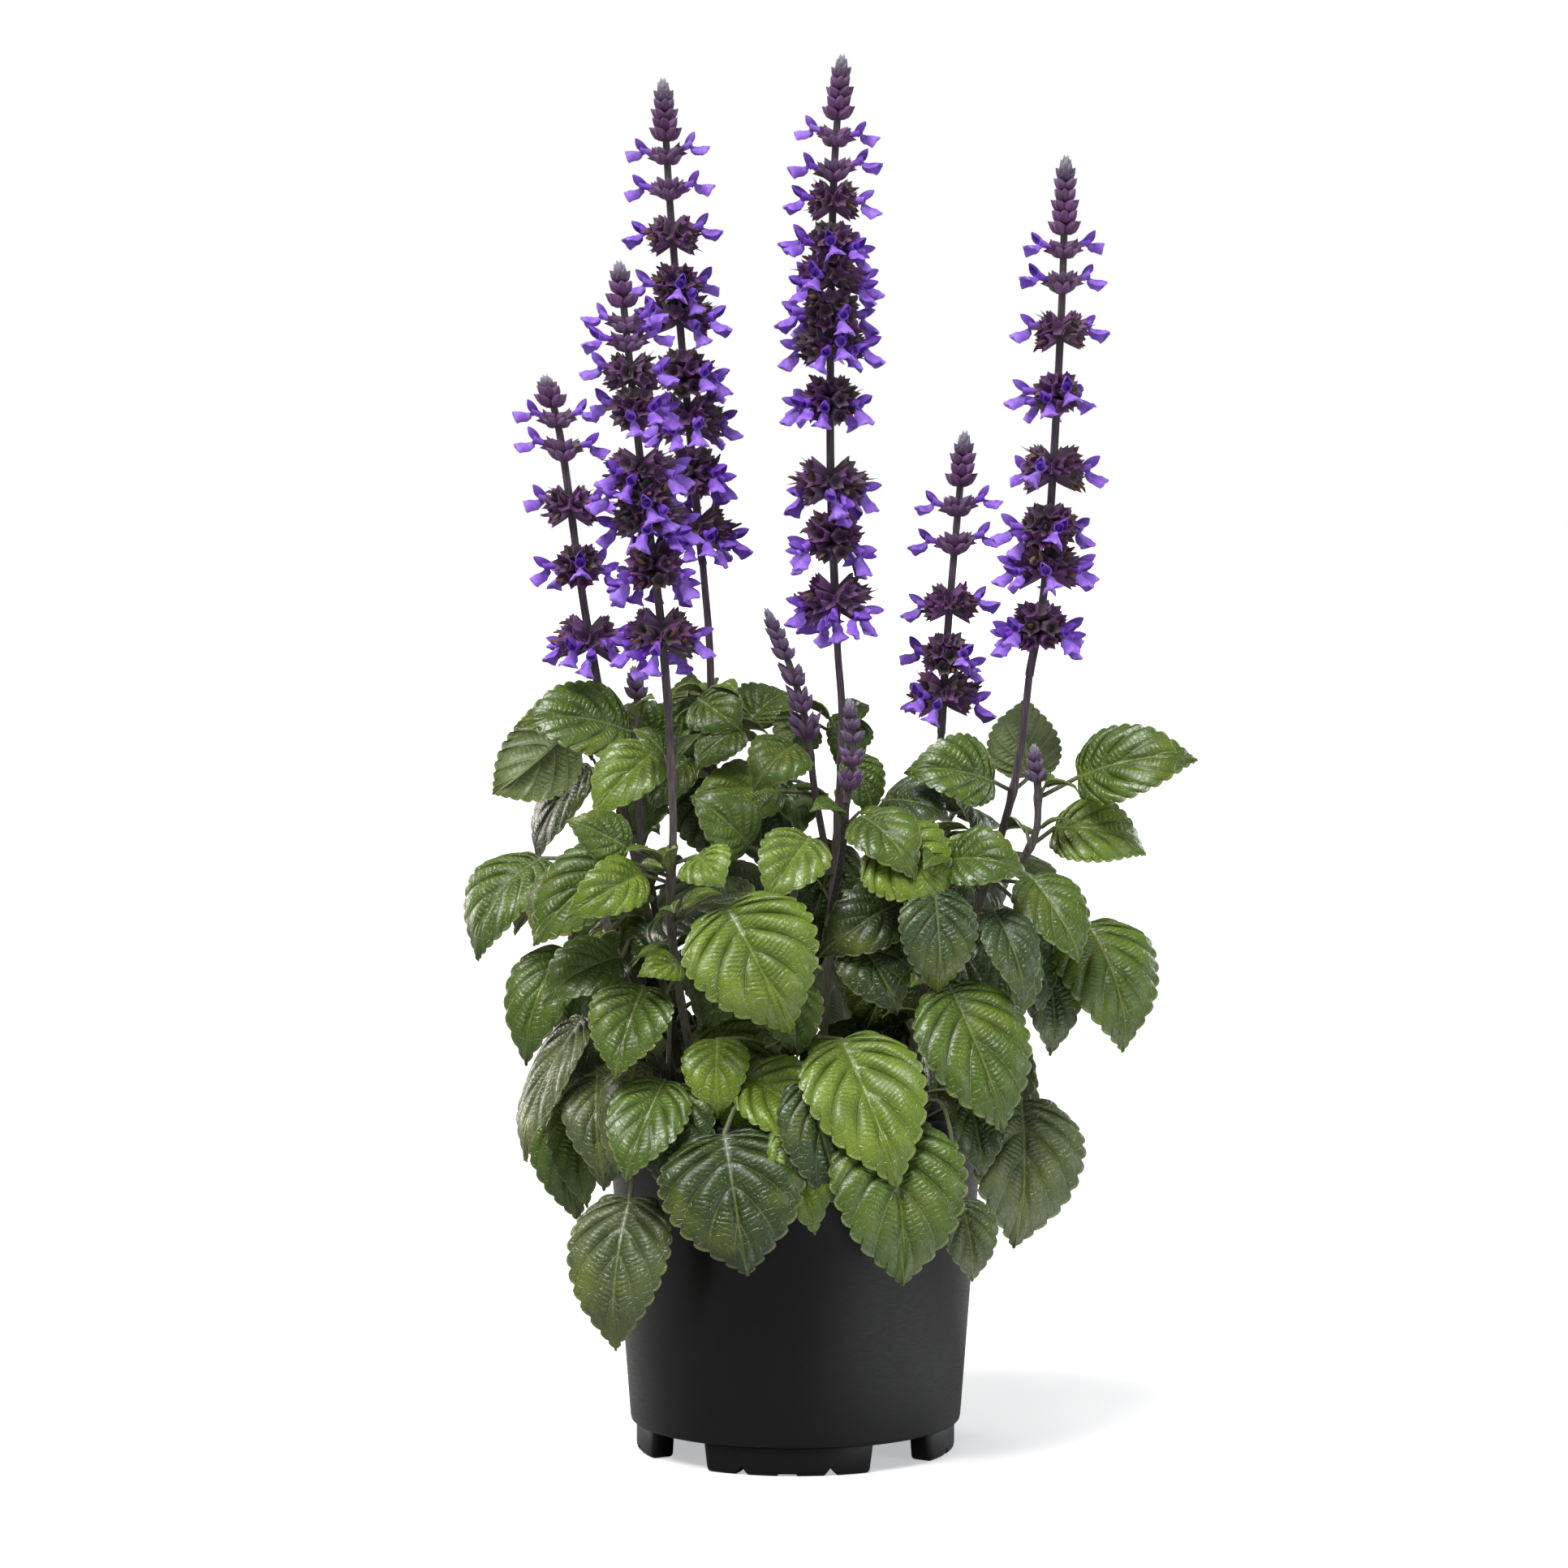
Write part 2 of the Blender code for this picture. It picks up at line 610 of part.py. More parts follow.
def whorl_sizes(heights, index, cone_start, small):
    """Spread and rise of a whorl: small near the top, and clear of the ones next to it."""
    above = heights[index - 1] if index else cone_start
    room = above - heights[index]
    if index < len(heights) - 1:
        room = min(room, heights[index] - heights[index + 1])
    age = min(1.0, index / FULL_SIZE_WHORL)
    spread = TOP_SPREAD + (LOW_SPREAD - TOP_SPREAD) * age
    rise = min(TOP_RISE + (LOW_RISE - TOP_RISE) * age, CROWDING * room)
    return spread * (YOUNG_SHARE if small else 1.0), rise


def corolla(root, angle, tilt, length):
    """A two-lipped flower: an upright hood over a broad, pointed lip."""
    out = Vector((math.cos(angle), math.sin(angle), 0))
    side = Vector((-out.y, out.x, 0))
    up = Vector((0, 0, 1))
    turn = Matrix.Rotation(tilt, 3, side)

    def place(forward, sideways, lift):
        return root + turn @ (out * forward + up * lift) * length + side * sideways * length

    throat = place(0, 0, 0)
    hood = place(0.86, 0, 0.48)
    back = place(0.5, 0, 0.27)
    mouth = place(0.66, 0, 0.06)
    left = place(0.86, 0.3, -0.12)
    right = place(0.86, -0.3, -0.12)
    lip = place(1.2, 0, -0.2)
    verts = [throat, hood, back, mouth, left, right, lip]
    faces = [(0, 2, 4), (2, 1, 4), (0, 5, 2), (2, 5, 1), (1, 3, 4), (1, 5, 3),
             (3, 6, 4), (3, 5, 6), (0, 4, 6), (0, 6, 5)]
    return verts, faces


def spike_way(places):
    """The smooth way of a spike, from its stem's top."""
    return smooth_route([spot(*place) for place in places], 3)


def spike_parts(key, places, cone_start, heights, closed_whorls, small):
    """The rachis with its whorls and cone as one body, and its open flowers."""
    way = spike_way(places)
    draw = random.Random(ord(key))
    reach = (EYE_DISTANCE + places[0][2]) / EYE_DISTANCE
    levels = [EYE_HEIGHT + (h - EYE_HEIGHT) * reach for h in heights]
    cone_level = EYE_HEIGHT + (cone_start - EYE_HEIGHT) * reach
    rows = [plain_ring(way[0] + Vector((0, 0, GAP)), RACHIS_RADIUS)]
    flowers = []
    for index in reversed(range(len(levels))):
        spread, rise = whorl_sizes(levels, index, cone_level, small)
        turn = math.pi / 2 * (index % 2)
        rows += whorl_rows(way, levels[index], spread, rise, turn, index % 2)
        if index < closed_whorls:
            continue
        count = 2 if index < 3 else 3 if index < 6 else 4
        for flower in range(count):
            angle = math.tau * flower / count + turn * 0.5 + draw.uniform(-0.35, 0.35)
            if count == 2:
                angle = math.pi * flower + draw.uniform(-0.4, 0.4)
            out = Vector((math.cos(angle), math.sin(angle), 0))
            lift = levels[index] + rise * draw.uniform(-0.2, 0.05)
            root = point_at_height(way, lift) + out * spread * 0.4
            tilt = math.radians(-12 + 4.5 * index + draw.uniform(-10, 14))
            size = COROLLA_LENGTH * (0.86 + 0.05 * min(index, 4))
            flowers.append(corolla(root, angle, tilt, size))
    cone_radius = YOUNG_CONE_RADIUS if small else CONE_RADIUS
    rows += cone_rows(way, cone_level, way[-1].z, cone_radius)
    return loft(rows), flowers


def join(name, core, repeats, material):
    """One body from a core and the repeats that grow from it."""
    body = new_object(name, *core, material)
    bpy.context.scene.collection.objects.link(body)
    if not repeats:
        return body
    group = bpy.data.collections.new(name + "_repeats")
    bpy.context.scene.collection.children.link(group)
    for index, (verts, faces) in enumerate(repeats):
        group.objects.link(new_object(f"{name}_repeat_{index}", verts, faces, material))
    union = body.modifiers.new("grown_together", "BOOLEAN")
    union.operation = "UNION"
    union.operand_type = "COLLECTION"
    union.collection = group
    union.solver = "MANIFOLD"
    bpy.context.view_layer.update()
    graph = bpy.context.evaluated_depsgraph_get()
    fused = bpy.data.meshes.new_from_object(body.evaluated_get(graph))
    body.modifiers.clear()
    body.data = fused
    fused.name = name
    for repeat in list(group.objects):
        bpy.data.objects.remove(repeat)
    bpy.data.collections.remove(group)
    tidy_mesh(fused)
    return body


def tidy_mesh(mesh):
    """Drop loose scraps and sealed hollows, keep the largest shell, close up slivers."""
    shape = bmesh.new()
    shape.from_mesh(mesh)
    bmesh.ops.triangulate(shape, faces=shape.faces)
    shells = []
    seen = set()
    for start in shape.faces:
        if start in seen:
            continue
        seen.add(start)
        shell = [start]
        for face in shell:
            for edge in face.edges:
                for other in edge.link_faces:
                    if other not in seen:
                        seen.add(other)
                        shell.append(other)
        shells.append(shell)
    shells.sort(key=len)
    for shell in shells[:-1]:
        bmesh.ops.delete(shape, geom=shell, context="FACES_ONLY")
    loose = [vert for vert in shape.verts if not vert.link_faces]
    bmesh.ops.delete(shape, geom=loose, context="VERTS")
    stray = [edge for edge in shape.edges if not edge.link_faces]
    bmesh.ops.delete(shape, geom=stray, context="EDGES")
    close_slivers(shape)
    shape.to_mesh(mesh)
    shape.free()


def close_slivers(shape):
    """Close up very short edges, folded faces and thin triangles."""
    drop_folds(shape)
    short = next_short_edge(shape)
    while short:
        middle = (short.verts[0].co + short.verts[1].co) / 2
        bmesh.ops.pointmerge(shape, verts=list(short.verts), merge_co=middle)
        short = next_short_edge(shape)
    drop_folds(shape)
    for face in list(shape.faces):
        if not face.is_valid or height_of(face) > THIN * MM:
            continue
        edge = max(face.edges, key=lambda e: e.calc_length())
        apexes = [vert for side in edge.link_faces for vert in side.verts if vert not in edge.verts]
        if shape.edges.get(apexes) is None:
            bmesh.utils.edge_rotate(edge)


def drop_folds(shape):
    """Delete each pair of faces that lie back to back on the same three corners."""
    corners = {}
    for face in shape.faces:
        corners.setdefault(frozenset(face.verts), []).append(face)
    doubled = [face for faces in corners.values() if len(faces) > 1 for face in faces]
    bmesh.ops.delete(shape, geom=doubled, context="FACES")


def next_short_edge(shape):
    """A very short edge that can close up without pinching the surface."""
    for edge in shape.edges:
        if edge.calc_length() < SLIVER * MM:
            rings = [{e.other_vert(vert) for e in vert.link_edges} for vert in edge.verts]
            if len(rings[0] & rings[1]) == 2:
                return edge
    return None


def height_of(face):
    """The height of a triangle over its longest edge."""
    return 2 * face.calc_area() / max(edge.calc_length() for edge in face.edges)


def wall_radius(level):
    """The pot wall's outer radius at a height."""
    share = (level - FLOOR_LEVEL) / (POT_HEIGHT - FLOOR_LEVEL)
    return WALL_FOOT_RADIUS + (WALL_TOP_RADIUS - WALL_FOOT_RADIUS) * share


def inner_radius(level):
    """The pot wall's inner radius at a height."""
    low = WALL_FOOT_RADIUS - WALL
    high = wall_radius(POT_HEIGHT - RIM_DEPTH) - WALL
    return low + (high - low) * (level - FLOOR_TOP) / (RIM_INNER_LEVEL - FLOOR_TOP)


def ring(radius, level):
    """A level ring of points about the pot's axis."""
    return [Vector((radius * math.cos(math.tau * s / POT_SIDES),
                    radius * math.sin(math.tau * s / POT_SIDES), level))
            for s in range(POT_SIDES)]


def pot_shell():
    """The cup: floor, tapered wall and rolled rim."""
    lip = POT_HEIGHT - RIM_DEPTH
    profile = [(WALL_FOOT_RADIUS - 1.0, FLOOR_LEVEL), (WALL_FOOT_RADIUS, FLOOR_LEVEL + 0.8),
               (wall_radius(lip), lip), (RIM_RADIUS, lip + 1.2),
               (RIM_RADIUS, POT_HEIGHT - 1.6), (RIM_RADIUS - 1.2, POT_HEIGHT),
               (inner_radius(RIM_INNER_LEVEL), RIM_INNER_LEVEL),
               (inner_radius(FLOOR_TOP), FLOOR_TOP)]
    return loft([ring(radius, level) for radius, level in profile])


def foot(heading):
    """One curved foot block under the floor."""
    rings = []
    for step in range(FOOT_STEPS + 1):
        angle = math.radians(heading - FOOT_SPAN / 2 + FOOT_SPAN * step / FOOT_STEPS)
        out = Vector((math.cos(angle), math.sin(angle), 0))
        outer = WALL_FOOT_RADIUS - 1.0 - STEP_INSET
        rings.append([out * FOOT_INNER_RADIUS, out * outer,
                      out * outer + Vector((0, 0, FOOT_TOP)),
                      out * FOOT_INNER_RADIUS + Vector((0, 0, FOOT_TOP))])
    return loft(rings)


def notch(heading):
    """A V-shaped bar that marks a foot's lower edge."""
    out = Vector((math.cos(math.radians(heading)), math.sin(math.radians(heading)), 0))
    side = Vector((-out.y, out.x, 0))
    rings = []
    for reach in (WALL_FOOT_RADIUS - 6.0, WALL_FOOT_RADIUS + 6.0):
        rings.append([out * reach + side * FOOT_NOTCH - Vector((0, 0, 1)),
                      out * reach - side * FOOT_NOTCH - Vector((0, 0, 1)),
                      out * reach + Vector((0, 0, FOOT_NOTCH))])
    return loft(rings)


def cut(body, name, verts, faces):
    """Take a shape out of a body."""
    tool = new_object(name, verts, faces)
    bpy.context.scene.collection.objects.link(tool)
    difference = body.modifiers.new(name, "BOOLEAN")
    difference.operation = "DIFFERENCE"
    difference.object = tool
    difference.solver = "MANIFOLD"
    bpy.context.view_layer.update()
    graph = bpy.context.evaluated_depsgraph_get()
    mesh = bpy.data.meshes.new_from_object(body.evaluated_get(graph))
    body.modifiers.clear()
    body.data = mesh
    mesh.name = body.name
    bpy.data.objects.remove(tool)


def make_pot(material):
    """The nursery pot with its four feet."""
    feet = [foot(heading) for heading in FOOT_HEADINGS]
    pot = join("pot", pot_shell(), feet, material)
    for heading in FOOT_HEADINGS:
        for turn in NOTCH_TURNS:
            cut(pot, "notch", *notch(heading + turn))
    tidy_mesh(pot.data)
    return pot


def make_soil(ways, material):
    """The soil that fills the pot, with a hole for each stem."""
    low = FLOOR_TOP + GAP
    body = loft([ring(inner_radius(low) - GAP, low), ring(inner_radius(SOIL_TOP) - GAP, SOIL_TOP)])
    soil = new_object("soil", *body, material)
    bpy.context.scene.collection.objects.link(soil)
    for way in ways.values():
        base = way[0]
        points = [Vector((base.x, base.y, SOIL_TOP - HOLE_DEPTH)),
                  Vector((base.x, base.y, SOIL_TOP + 4))]
        cut(soil, "hole", *square_tube(points, HOLE_HALF))
    tidy_mesh(soil.data)
    return soil


def stem_core(way):
    """A leafy stem's tube, from the bottom of its hole to its top."""
    foot_point = Vector((way[0].x, way[0].y, SOIL_TOP - HOLE_DEPTH + GAP))
    return square_tube([foot_point] + way[::2], STEM_HALF, 0.82)


def finish(name, colour, roughness, metallic=0.0):
    """A material with one colour, roughness and metallic value."""
    material = bpy.data.materials.new(name)
    material.use_nodes = True
    shader = material.node_tree.nodes["Principled BSDF"]
    shader.inputs["Base Color"].default_value = (*colour, 1.0)
    shader.inputs["Roughness"].default_value = roughness
    shader.inputs["Metallic"].default_value = metallic
    material.diffuse_color = (*colour, 1.0)
    return material


def move_to_origin():
    """Put the origin under the middle of the plant's spread."""
    shift = Matrix.Translation(Vector((-SPREAD_CENTRE[0], -SPREAD_CENTRE[1], 0)) * MM)
    for obj in bpy.context.scene.objects:
        obj.data.transform(shift)


def main():
    for obj in list(bpy.data.objects):
        bpy.data.objects.remove(obj)
    plastic = finish("pot_plastic", (0.012, 0.012, 0.013), 0.38)
    earth = finish("potting_soil", (0.035, 0.022, 0.014), 0.95)
    green = finish("leaf_green", (0.10, 0.19, 0.04), 0.5)
    violet = finish("flower_violet", (0.13, 0.05, 0.55), 0.6)
    plum = finish("bud_plum", (0.10, 0.05, 0.12), 0.65)

    ways = stem_ways()
    shoots = shoot_ways()
    fixed = [("pot", tree_of([pot_shell()] + [foot(heading) for heading in FOOT_HEADINGS])),
             ("soil", tree_of([loft([ring(inner_radius(SOIL_TOP / 2), SOIL_TOP / 2),
                                     ring(inner_radius(SOIL_TOP), SOIL_TOP + 2 * GAP)])]))]
    for key, way in ways.items():
        fixed.append((key, tree_of([square_tube(way, STEM_HALF + 0.8)])))
    for key, way in shoots.items():
        fixed.append((SHOOTS[key][0], tree_of([square_tube(way, SHOOT_HALF + 0.8)])))
    spikes = {}
    for table, small, label in ((SPIKES, False, "flower_spike_"), (BUD_SPIKES, True, "bud_spike_")):
        for key, (places, cone_start, heights, closed_whorls) in table.items():
            core, flowers = spike_parts(key, places, cone_start, heights, closed_whorls, small)
            spikes[label + key] = (core, flowers, plum if small else violet)
            fixed.append((label + key, tree_of([core] + flowers)))

    make_pot(plastic)
    make_soil(ways, earth)
    leaves = settle_leaves({**ways, **shoots}, fixed)
    for key, way in ways.items():
        repeats = [square_tube(shoots[s][::2], SHOOT_HALF)
                   for s in SHOOTS if SHOOTS[s][0] == key]
        for leaf in leaves:
            if STEM_NODE[leaf["stem"]] == key:
                verts, faces, stalk = blade(leaf, BLADE_THICKNESS, STALK_WIDTH)
                repeats.append((verts, faces + stalk))
        join("leafy_stem_" + key, stem_core(way), repeats, green)
    for name, (core, flowers, material) in spikes.items():
        join(name, core, flowers, material)
    move_to_origin()
    total = 0
    for obj in bpy.context.scene.objects:
        obj.data.calc_loop_triangles()
        total += len(obj.data.loop_triangles)
        print(obj.name, len(obj.data.loop_triangles))
    print("leaves", len(leaves), "triangles", total)


main()
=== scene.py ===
# %% [markdown]
# # A flowering salvia in its nursery pot
#
# The plant is a clump of thirteen square stems. Six of them end in tall violet flower
# spikes, and four side shoots carry young spikes still in bud. Over a hundred broad,
# quilted leaves hang from the stems. It stands in dark peat in black moulded plastic.
# Each piece below takes the place of one plain solid, leaf for leaf and flower for
# flower, so the first step is to load those solids.

# %% Load the plain solids
import math
import random

import bpy
import numpy as np
from mathutils import Matrix, Vector, noise
from mathutils.kdtree import KDTree


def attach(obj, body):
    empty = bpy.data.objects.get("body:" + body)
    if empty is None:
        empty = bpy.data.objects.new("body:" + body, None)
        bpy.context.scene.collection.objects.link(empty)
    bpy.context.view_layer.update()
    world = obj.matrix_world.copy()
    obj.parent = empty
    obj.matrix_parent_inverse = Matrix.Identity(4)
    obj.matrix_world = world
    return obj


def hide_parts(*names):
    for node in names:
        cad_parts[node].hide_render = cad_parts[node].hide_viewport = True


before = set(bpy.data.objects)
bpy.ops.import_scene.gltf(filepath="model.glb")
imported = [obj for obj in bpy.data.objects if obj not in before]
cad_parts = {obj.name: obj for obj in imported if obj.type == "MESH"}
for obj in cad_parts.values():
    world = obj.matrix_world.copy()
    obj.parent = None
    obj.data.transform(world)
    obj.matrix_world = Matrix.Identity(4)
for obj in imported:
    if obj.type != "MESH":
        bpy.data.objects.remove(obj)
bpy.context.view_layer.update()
bpy.ops.object.select_all(action="DESELECT")
print("solids loaded:", len(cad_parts))

# %% [markdown]
# ## Camera and light
#
# The picture was taken from 2.2 m away with a long lens, a little above the middle of
# the plant, on seamless white. A bright white room all around would light it evenly but
# flatly. So the room is white to the camera and dim as a light, and far lamps do the
# rest: a strong soft one from the upper left gives the leaves their sheen and the
# hollows their dark, a weak bluish one fills from the right, and two low ones behind the
# plant draw its bright edges.

# %% Camera
# Places below are in millimetres about the pot's axis. The solids are in metres about
# the middle of the plant's spread, so each piece is shifted and scaled at its end.
MM = 0.001
SPREAD_CENTRE = np.array([13.9, 15.1, 0.0])
EYE_ACROSS = -5.0
EYE_DISTANCE = 2200.0
EYE_HEIGHT = 443.0
LENS = 117.0
LOOK_DOWN = 4.0

eye = (np.array([EYE_ACROSS, -EYE_DISTANCE, EYE_HEIGHT]) - SPREAD_CENTRE) * MM
bpy.ops.object.camera_add(location=eye, rotation=(math.radians(90 - LOOK_DOWN), 0, 0))
camera = bpy.context.object
camera.data.lens = LENS
camera.data.clip_end = 50
bpy.context.scene.camera = camera
print("camera at", [round(float(v), 3) for v in eye])

# %% Lamps
# Name, the way it shines, strength, spread in degrees, tint.
LAMPS = [
    ("key", (0.32, 0.46, -1.0), 3.6, 32, (1.0, 1.0, 1.0)),
    ("side_fill", (-0.85, 0.6, -0.2), 0.65, 34, (0.86, 0.92, 1.0)),
    ("left_rim", (0.75, -0.62, -0.25), 1.5, 30, (1.0, 0.93, 0.86)),
    ("right_rim", (-0.75, -0.62, -0.25), 1.2, 30, (0.94, 0.96, 1.0)),
]


def sun_lamp(name, toward, strength, spread, tint):
    """A far lamp that shines along a direction, with shadows as soft as its spread."""
    bpy.ops.object.light_add(type="SUN", location=(0, 0, 3))
    lamp = bpy.context.object
    lamp.name = name
    lamp.rotation_euler = Vector(toward).to_track_quat("-Z", "Y").to_euler()
    lamp.data.energy = strength
    lamp.data.angle = math.radians(spread)
    lamp.data.color = tint


for lamp in LAMPS:
    sun_lamp(*lamp)

# %% White room
WHITE = (1, 1, 1, 1)
SEEN_WHITE = 1.0
ROOM_LIGHT = 0.21


def white_room():
    """A world that is white to the camera and dim as a light."""
    world = bpy.data.worlds.new("white_room")
    world.use_nodes = True
    nodes = world.node_tree.nodes
    links = world.node_tree.links
    chooser = nodes.new("ShaderNodeMixShader")
    path = nodes.new("ShaderNodeLightPath")
    links.new(path.outputs["Is Camera Ray"], chooser.inputs[0])
    walls = [(nodes.new("ShaderNodeBackground"), ROOM_LIGHT), (nodes["Background"], SEEN_WHITE)]
    for socket, (wall, strength) in enumerate(walls, start=1):
        wall.inputs["Color"].default_value = WHITE
        wall.inputs["Strength"].default_value = strength
        links.new(wall.outputs[0], chooser.inputs[socket])
    links.new(chooser.outputs[0], nodes["World Output"].inputs["Surface"])
    return world


bpy.context.scene.world = white_room()
bpy.context.scene.view_settings.view_transform = "Standard"
print("world:", bpy.context.scene.world.name)

# %% [markdown]
# ## Finishes
#
# Every finish is a small network of nodes around one shader. Leaves, petals and stems
# carry their own colours in a point attribute called tone, so that each leaf has its own
# green; on leaves, calyces and lips it holds painted light and shade as well. A second
# attribute called under is 1 on the back of a leaf. The nodes add what is too fine to
# model: the net of small veins, hairs, grain, and wear, and painted shade in a leaf's
# creases and in dark patches of the peat.


# %% A recipe for a finish
class Recipe:
    """A material that is put together node by node."""

    def __init__(self, name, roughness=0.5):
        self.material = bpy.data.materials.new(name)
        self.material.use_nodes = True
        self.tree = self.material.node_tree
        self.shader = self.tree.nodes["Principled BSDF"]
        self.skin("Roughness", roughness)

    def node(self, kind, inputs=None, **settings):
        """A new node with its settings, and a value or a link for each socket named."""
        made = self.tree.nodes.new(kind)
        for key, value in settings.items():
            setattr(made, key, value)
        for key, value in (inputs or {}).items():
            self.feed(made.inputs[key], value)
        return made

    def feed(self, socket, value):
        """Link a socket to another one, or set its value."""
        if isinstance(value, bpy.types.NodeSocket):
            self.tree.links.new(value, socket)
        else:
            socket.default_value = value

    def skin(self, name, value):
        """Feed one of the shader's own sockets."""
        self.feed(self.shader.inputs[name], value)

    def sum(self, operation, a, b=0.0):
        """Any sum that a Math node can do."""
        return self.node("ShaderNodeMath", {0: a, 1: b}, operation=operation).outputs[0]

    def times(self, a, b):
        return self.sum("MULTIPLY", a, b)

    def plus(self, a, b):
        return self.sum("ADD", a, b)

    def step(self, value, low, high, start=0.0, stop=1.0):
        """A soft step from start to stop while a value goes from low to high."""
        made = self.node("ShaderNodeMapRange",
                         {"Value": value, "From Min": low, "From Max": high,
                          "To Min": start, "To Max": stop}, interpolation_type="SMOOTHSTEP")
        return made.outputs["Result"]

    def fade(self, value, low, high):
        """A soft step from one down to nothing."""
        return self.step(value, low, high, 1.0, 0.0)

    def blend(self, share, low, high):
        """A colour between two."""
        return self.node("ShaderNodeMix", {0: share, 6: low, 7: high}, data_type="RGBA").outputs[2]

    def place(self):
        """Where a point lies on the piece."""
        return self.node("ShaderNodeTexCoord").outputs["Object"]

    def grain(self, scale, detail=3.0, where=None):
        """Random clouds, the finer the larger their scale."""
        return self.node("ShaderNodeTexNoise", {"Vector": where or self.place(), "Scale": scale,
                                                "Detail": detail}).outputs["Fac"]

    def squeezed(self, along):
        """Places drawn together or apart along the height, for streaky clouds."""
        return self.node("ShaderNodeMapping", {"Vector": self.place(),
                                               "Scale": (1.0, 1.0, along)}).outputs[0]

    def tone(self):
        """The colour that the piece keeps at each corner."""
        return self.node("ShaderNodeAttribute", attribute_name="tone").outputs["Color"]

    def chart(self, name):
        """One of a leaf's maps: whole, its part across and its part along."""
        whole = self.node("ShaderNodeUVMap", uv_map=name).outputs["UV"]
        parts = self.node("ShaderNodeSeparateXYZ", {0: whole}).outputs
        return whole, parts[0], parts[1]

    def colour(self, value):
        """The shader's colour."""
        self.skin("Base Color", value)

    def bump(self, height, strength, distance):
        """Relief too fine to model."""
        made = self.node("ShaderNodeBump", {"Height": height, "Strength": strength,
                                            "Distance": distance})
        self.skin("Normal", made.outputs["Normal"])

    def sheen(self, weight, tint):
        """The pale bloom of short hairs."""
        self.skin("Sheen Weight", weight)
        self.skin("Sheen Tint", tint)


print("recipes ready")

# %% [markdown]
# ### Leaf skin
#
# A salvia leaf is quilted: side veins cross it in pairs, and between them the skin rises
# in a ladder of small puffs. The pattern follows the leaf and not the room, so it is
# drawn on two maps that each blade carries. The first, leaf_map, runs from 0 to 1 across
# and along; the second, leaf_place, is in true centimetres, so that the net of small
# veins is as fine on a small leaf as on a large one.


# %% Leaf pattern
VEIN_PAIRS = 7
RUNGS_PER_CM = 13.6
RUNG_SLANT = 0.4
RUNG_WANDER = 3.2
NET_SCALE = 3.6


def blade_pattern(r):
    """What runs over a blade: side veins, midrib, net of small veins, rungs of puffs."""
    _, side, along = r.chart("leaf_map")
    flat, flat_side, flat_along = r.chart("leaf_place")
    across = r.sum("ABSOLUTE", r.times(r.sum("SUBTRACT", side, 0.5), 2.0))
    interval = r.sum("PINGPONG", r.times(along, float(VEIN_PAIRS)), 0.5)
    side_veins = r.times(r.fade(interval, 0.0, 0.06), r.step(across, 0.7, 1.0, 1.0, 0.3))
    net = r.node("ShaderNodeTexVoronoi", {"Vector": flat, "Scale": NET_SCALE, "Randomness": 0.9},
                 feature="DISTANCE_TO_EDGE").outputs["Distance"]
    wander = r.times(r.grain(2.2, 1.0, flat), RUNG_WANDER)
    slant = r.plus(flat_along, r.times(flat_side, RUNG_SLANT))
    rungs = r.sum("ABSOLUTE", r.sum("SINE", r.plus(r.times(slant, RUNGS_PER_CM), wander)))
    centre = r.times(r.fade(across, 0.45, 0.85), r.step(flat_side, 0.06, 0.2))
    centre = r.times(centre, r.fade(along, 0.8, 0.97))
    puffs = r.times(r.times(rungs, r.step(interval, 0.02, 0.3)), centre)
    return {"across": across, "along": along, "side_veins": side_veins, "centre": centre,
            "puffs": puffs, "midrib": r.fade(flat_side, 0.025, 0.075),
            "net": r.fade(net, 0.0, 0.09)}


print("side veins to a leaf:", 2 * VEIN_PAIRS)

# %% Leaf finish
DEEP_GREEN = (0.01, 0.03, 0.0, 1)
YELLOW_GREEN = (0.30, 0.34, 0.03, 1)
BACK_GREEN = (0.25, 0.29, 0.13, 1)
VEIN_GREEN = (0.42, 0.47, 0.16, 1)


def blade_colour(r, pattern, under):
    """Mottled green in the leaf's own tone, with painted shade in creases; paler veins and edge,
    duller back.
    """
    tone = r.tone()
    skin = r.blend(under, tone, r.blend(0.55, tone, BACK_GREEN))
    mottled = r.blend(r.step(r.grain(80.0), 0.35, 0.7), r.blend(0.3, skin, DEEP_GREEN), skin)
    lit = r.blend(r.step(r.grain(45.0, 2.0), 0.5, 0.75, 0.0, 0.3), mottled, YELLOW_GREEN)
    # Painted shade: the creases between the puffs are darkened towards deep green.
    hollows = r.times(r.sum("SUBTRACT", pattern["centre"], pattern["puffs"]), 0.25)
    crease_shaded = r.blend(hollows, lit, DEEP_GREEN)
    veins = r.sum("MAXIMUM", pattern["side_veins"], pattern["midrib"])
    lines = r.sum("MAXIMUM", veins, r.times(pattern["net"], 0.25))
    strength = r.times(lines, r.plus(r.times(under, 0.3), 0.5))
    edge = r.step(pattern["across"], 0.965, 0.985, 0.0, 0.55)
    pale = r.blend(0.5, skin, VEIN_GREEN)
    return r.blend(r.sum("MAXIMUM", strength, edge), crease_shaded, pale)


def blade_relief(r, pattern):
    """Puffs stand up, veins and their net lie in grooves, and grain covers all."""
    height = r.plus(r.times(pattern["puffs"], 0.75), r.times(pattern["net"], -0.3))
    roomy = r.times(r.step(pattern["across"], 0.06, 0.3), r.fade(pattern["along"], 0.75, 0.95))
    grooves = r.plus(r.times(pattern["side_veins"], roomy), r.times(pattern["midrib"], 0.5))
    height = r.plus(height, r.times(grooves, -0.5))
    return r.plus(height, r.times(r.grain(700.0, 2.0), 0.25))


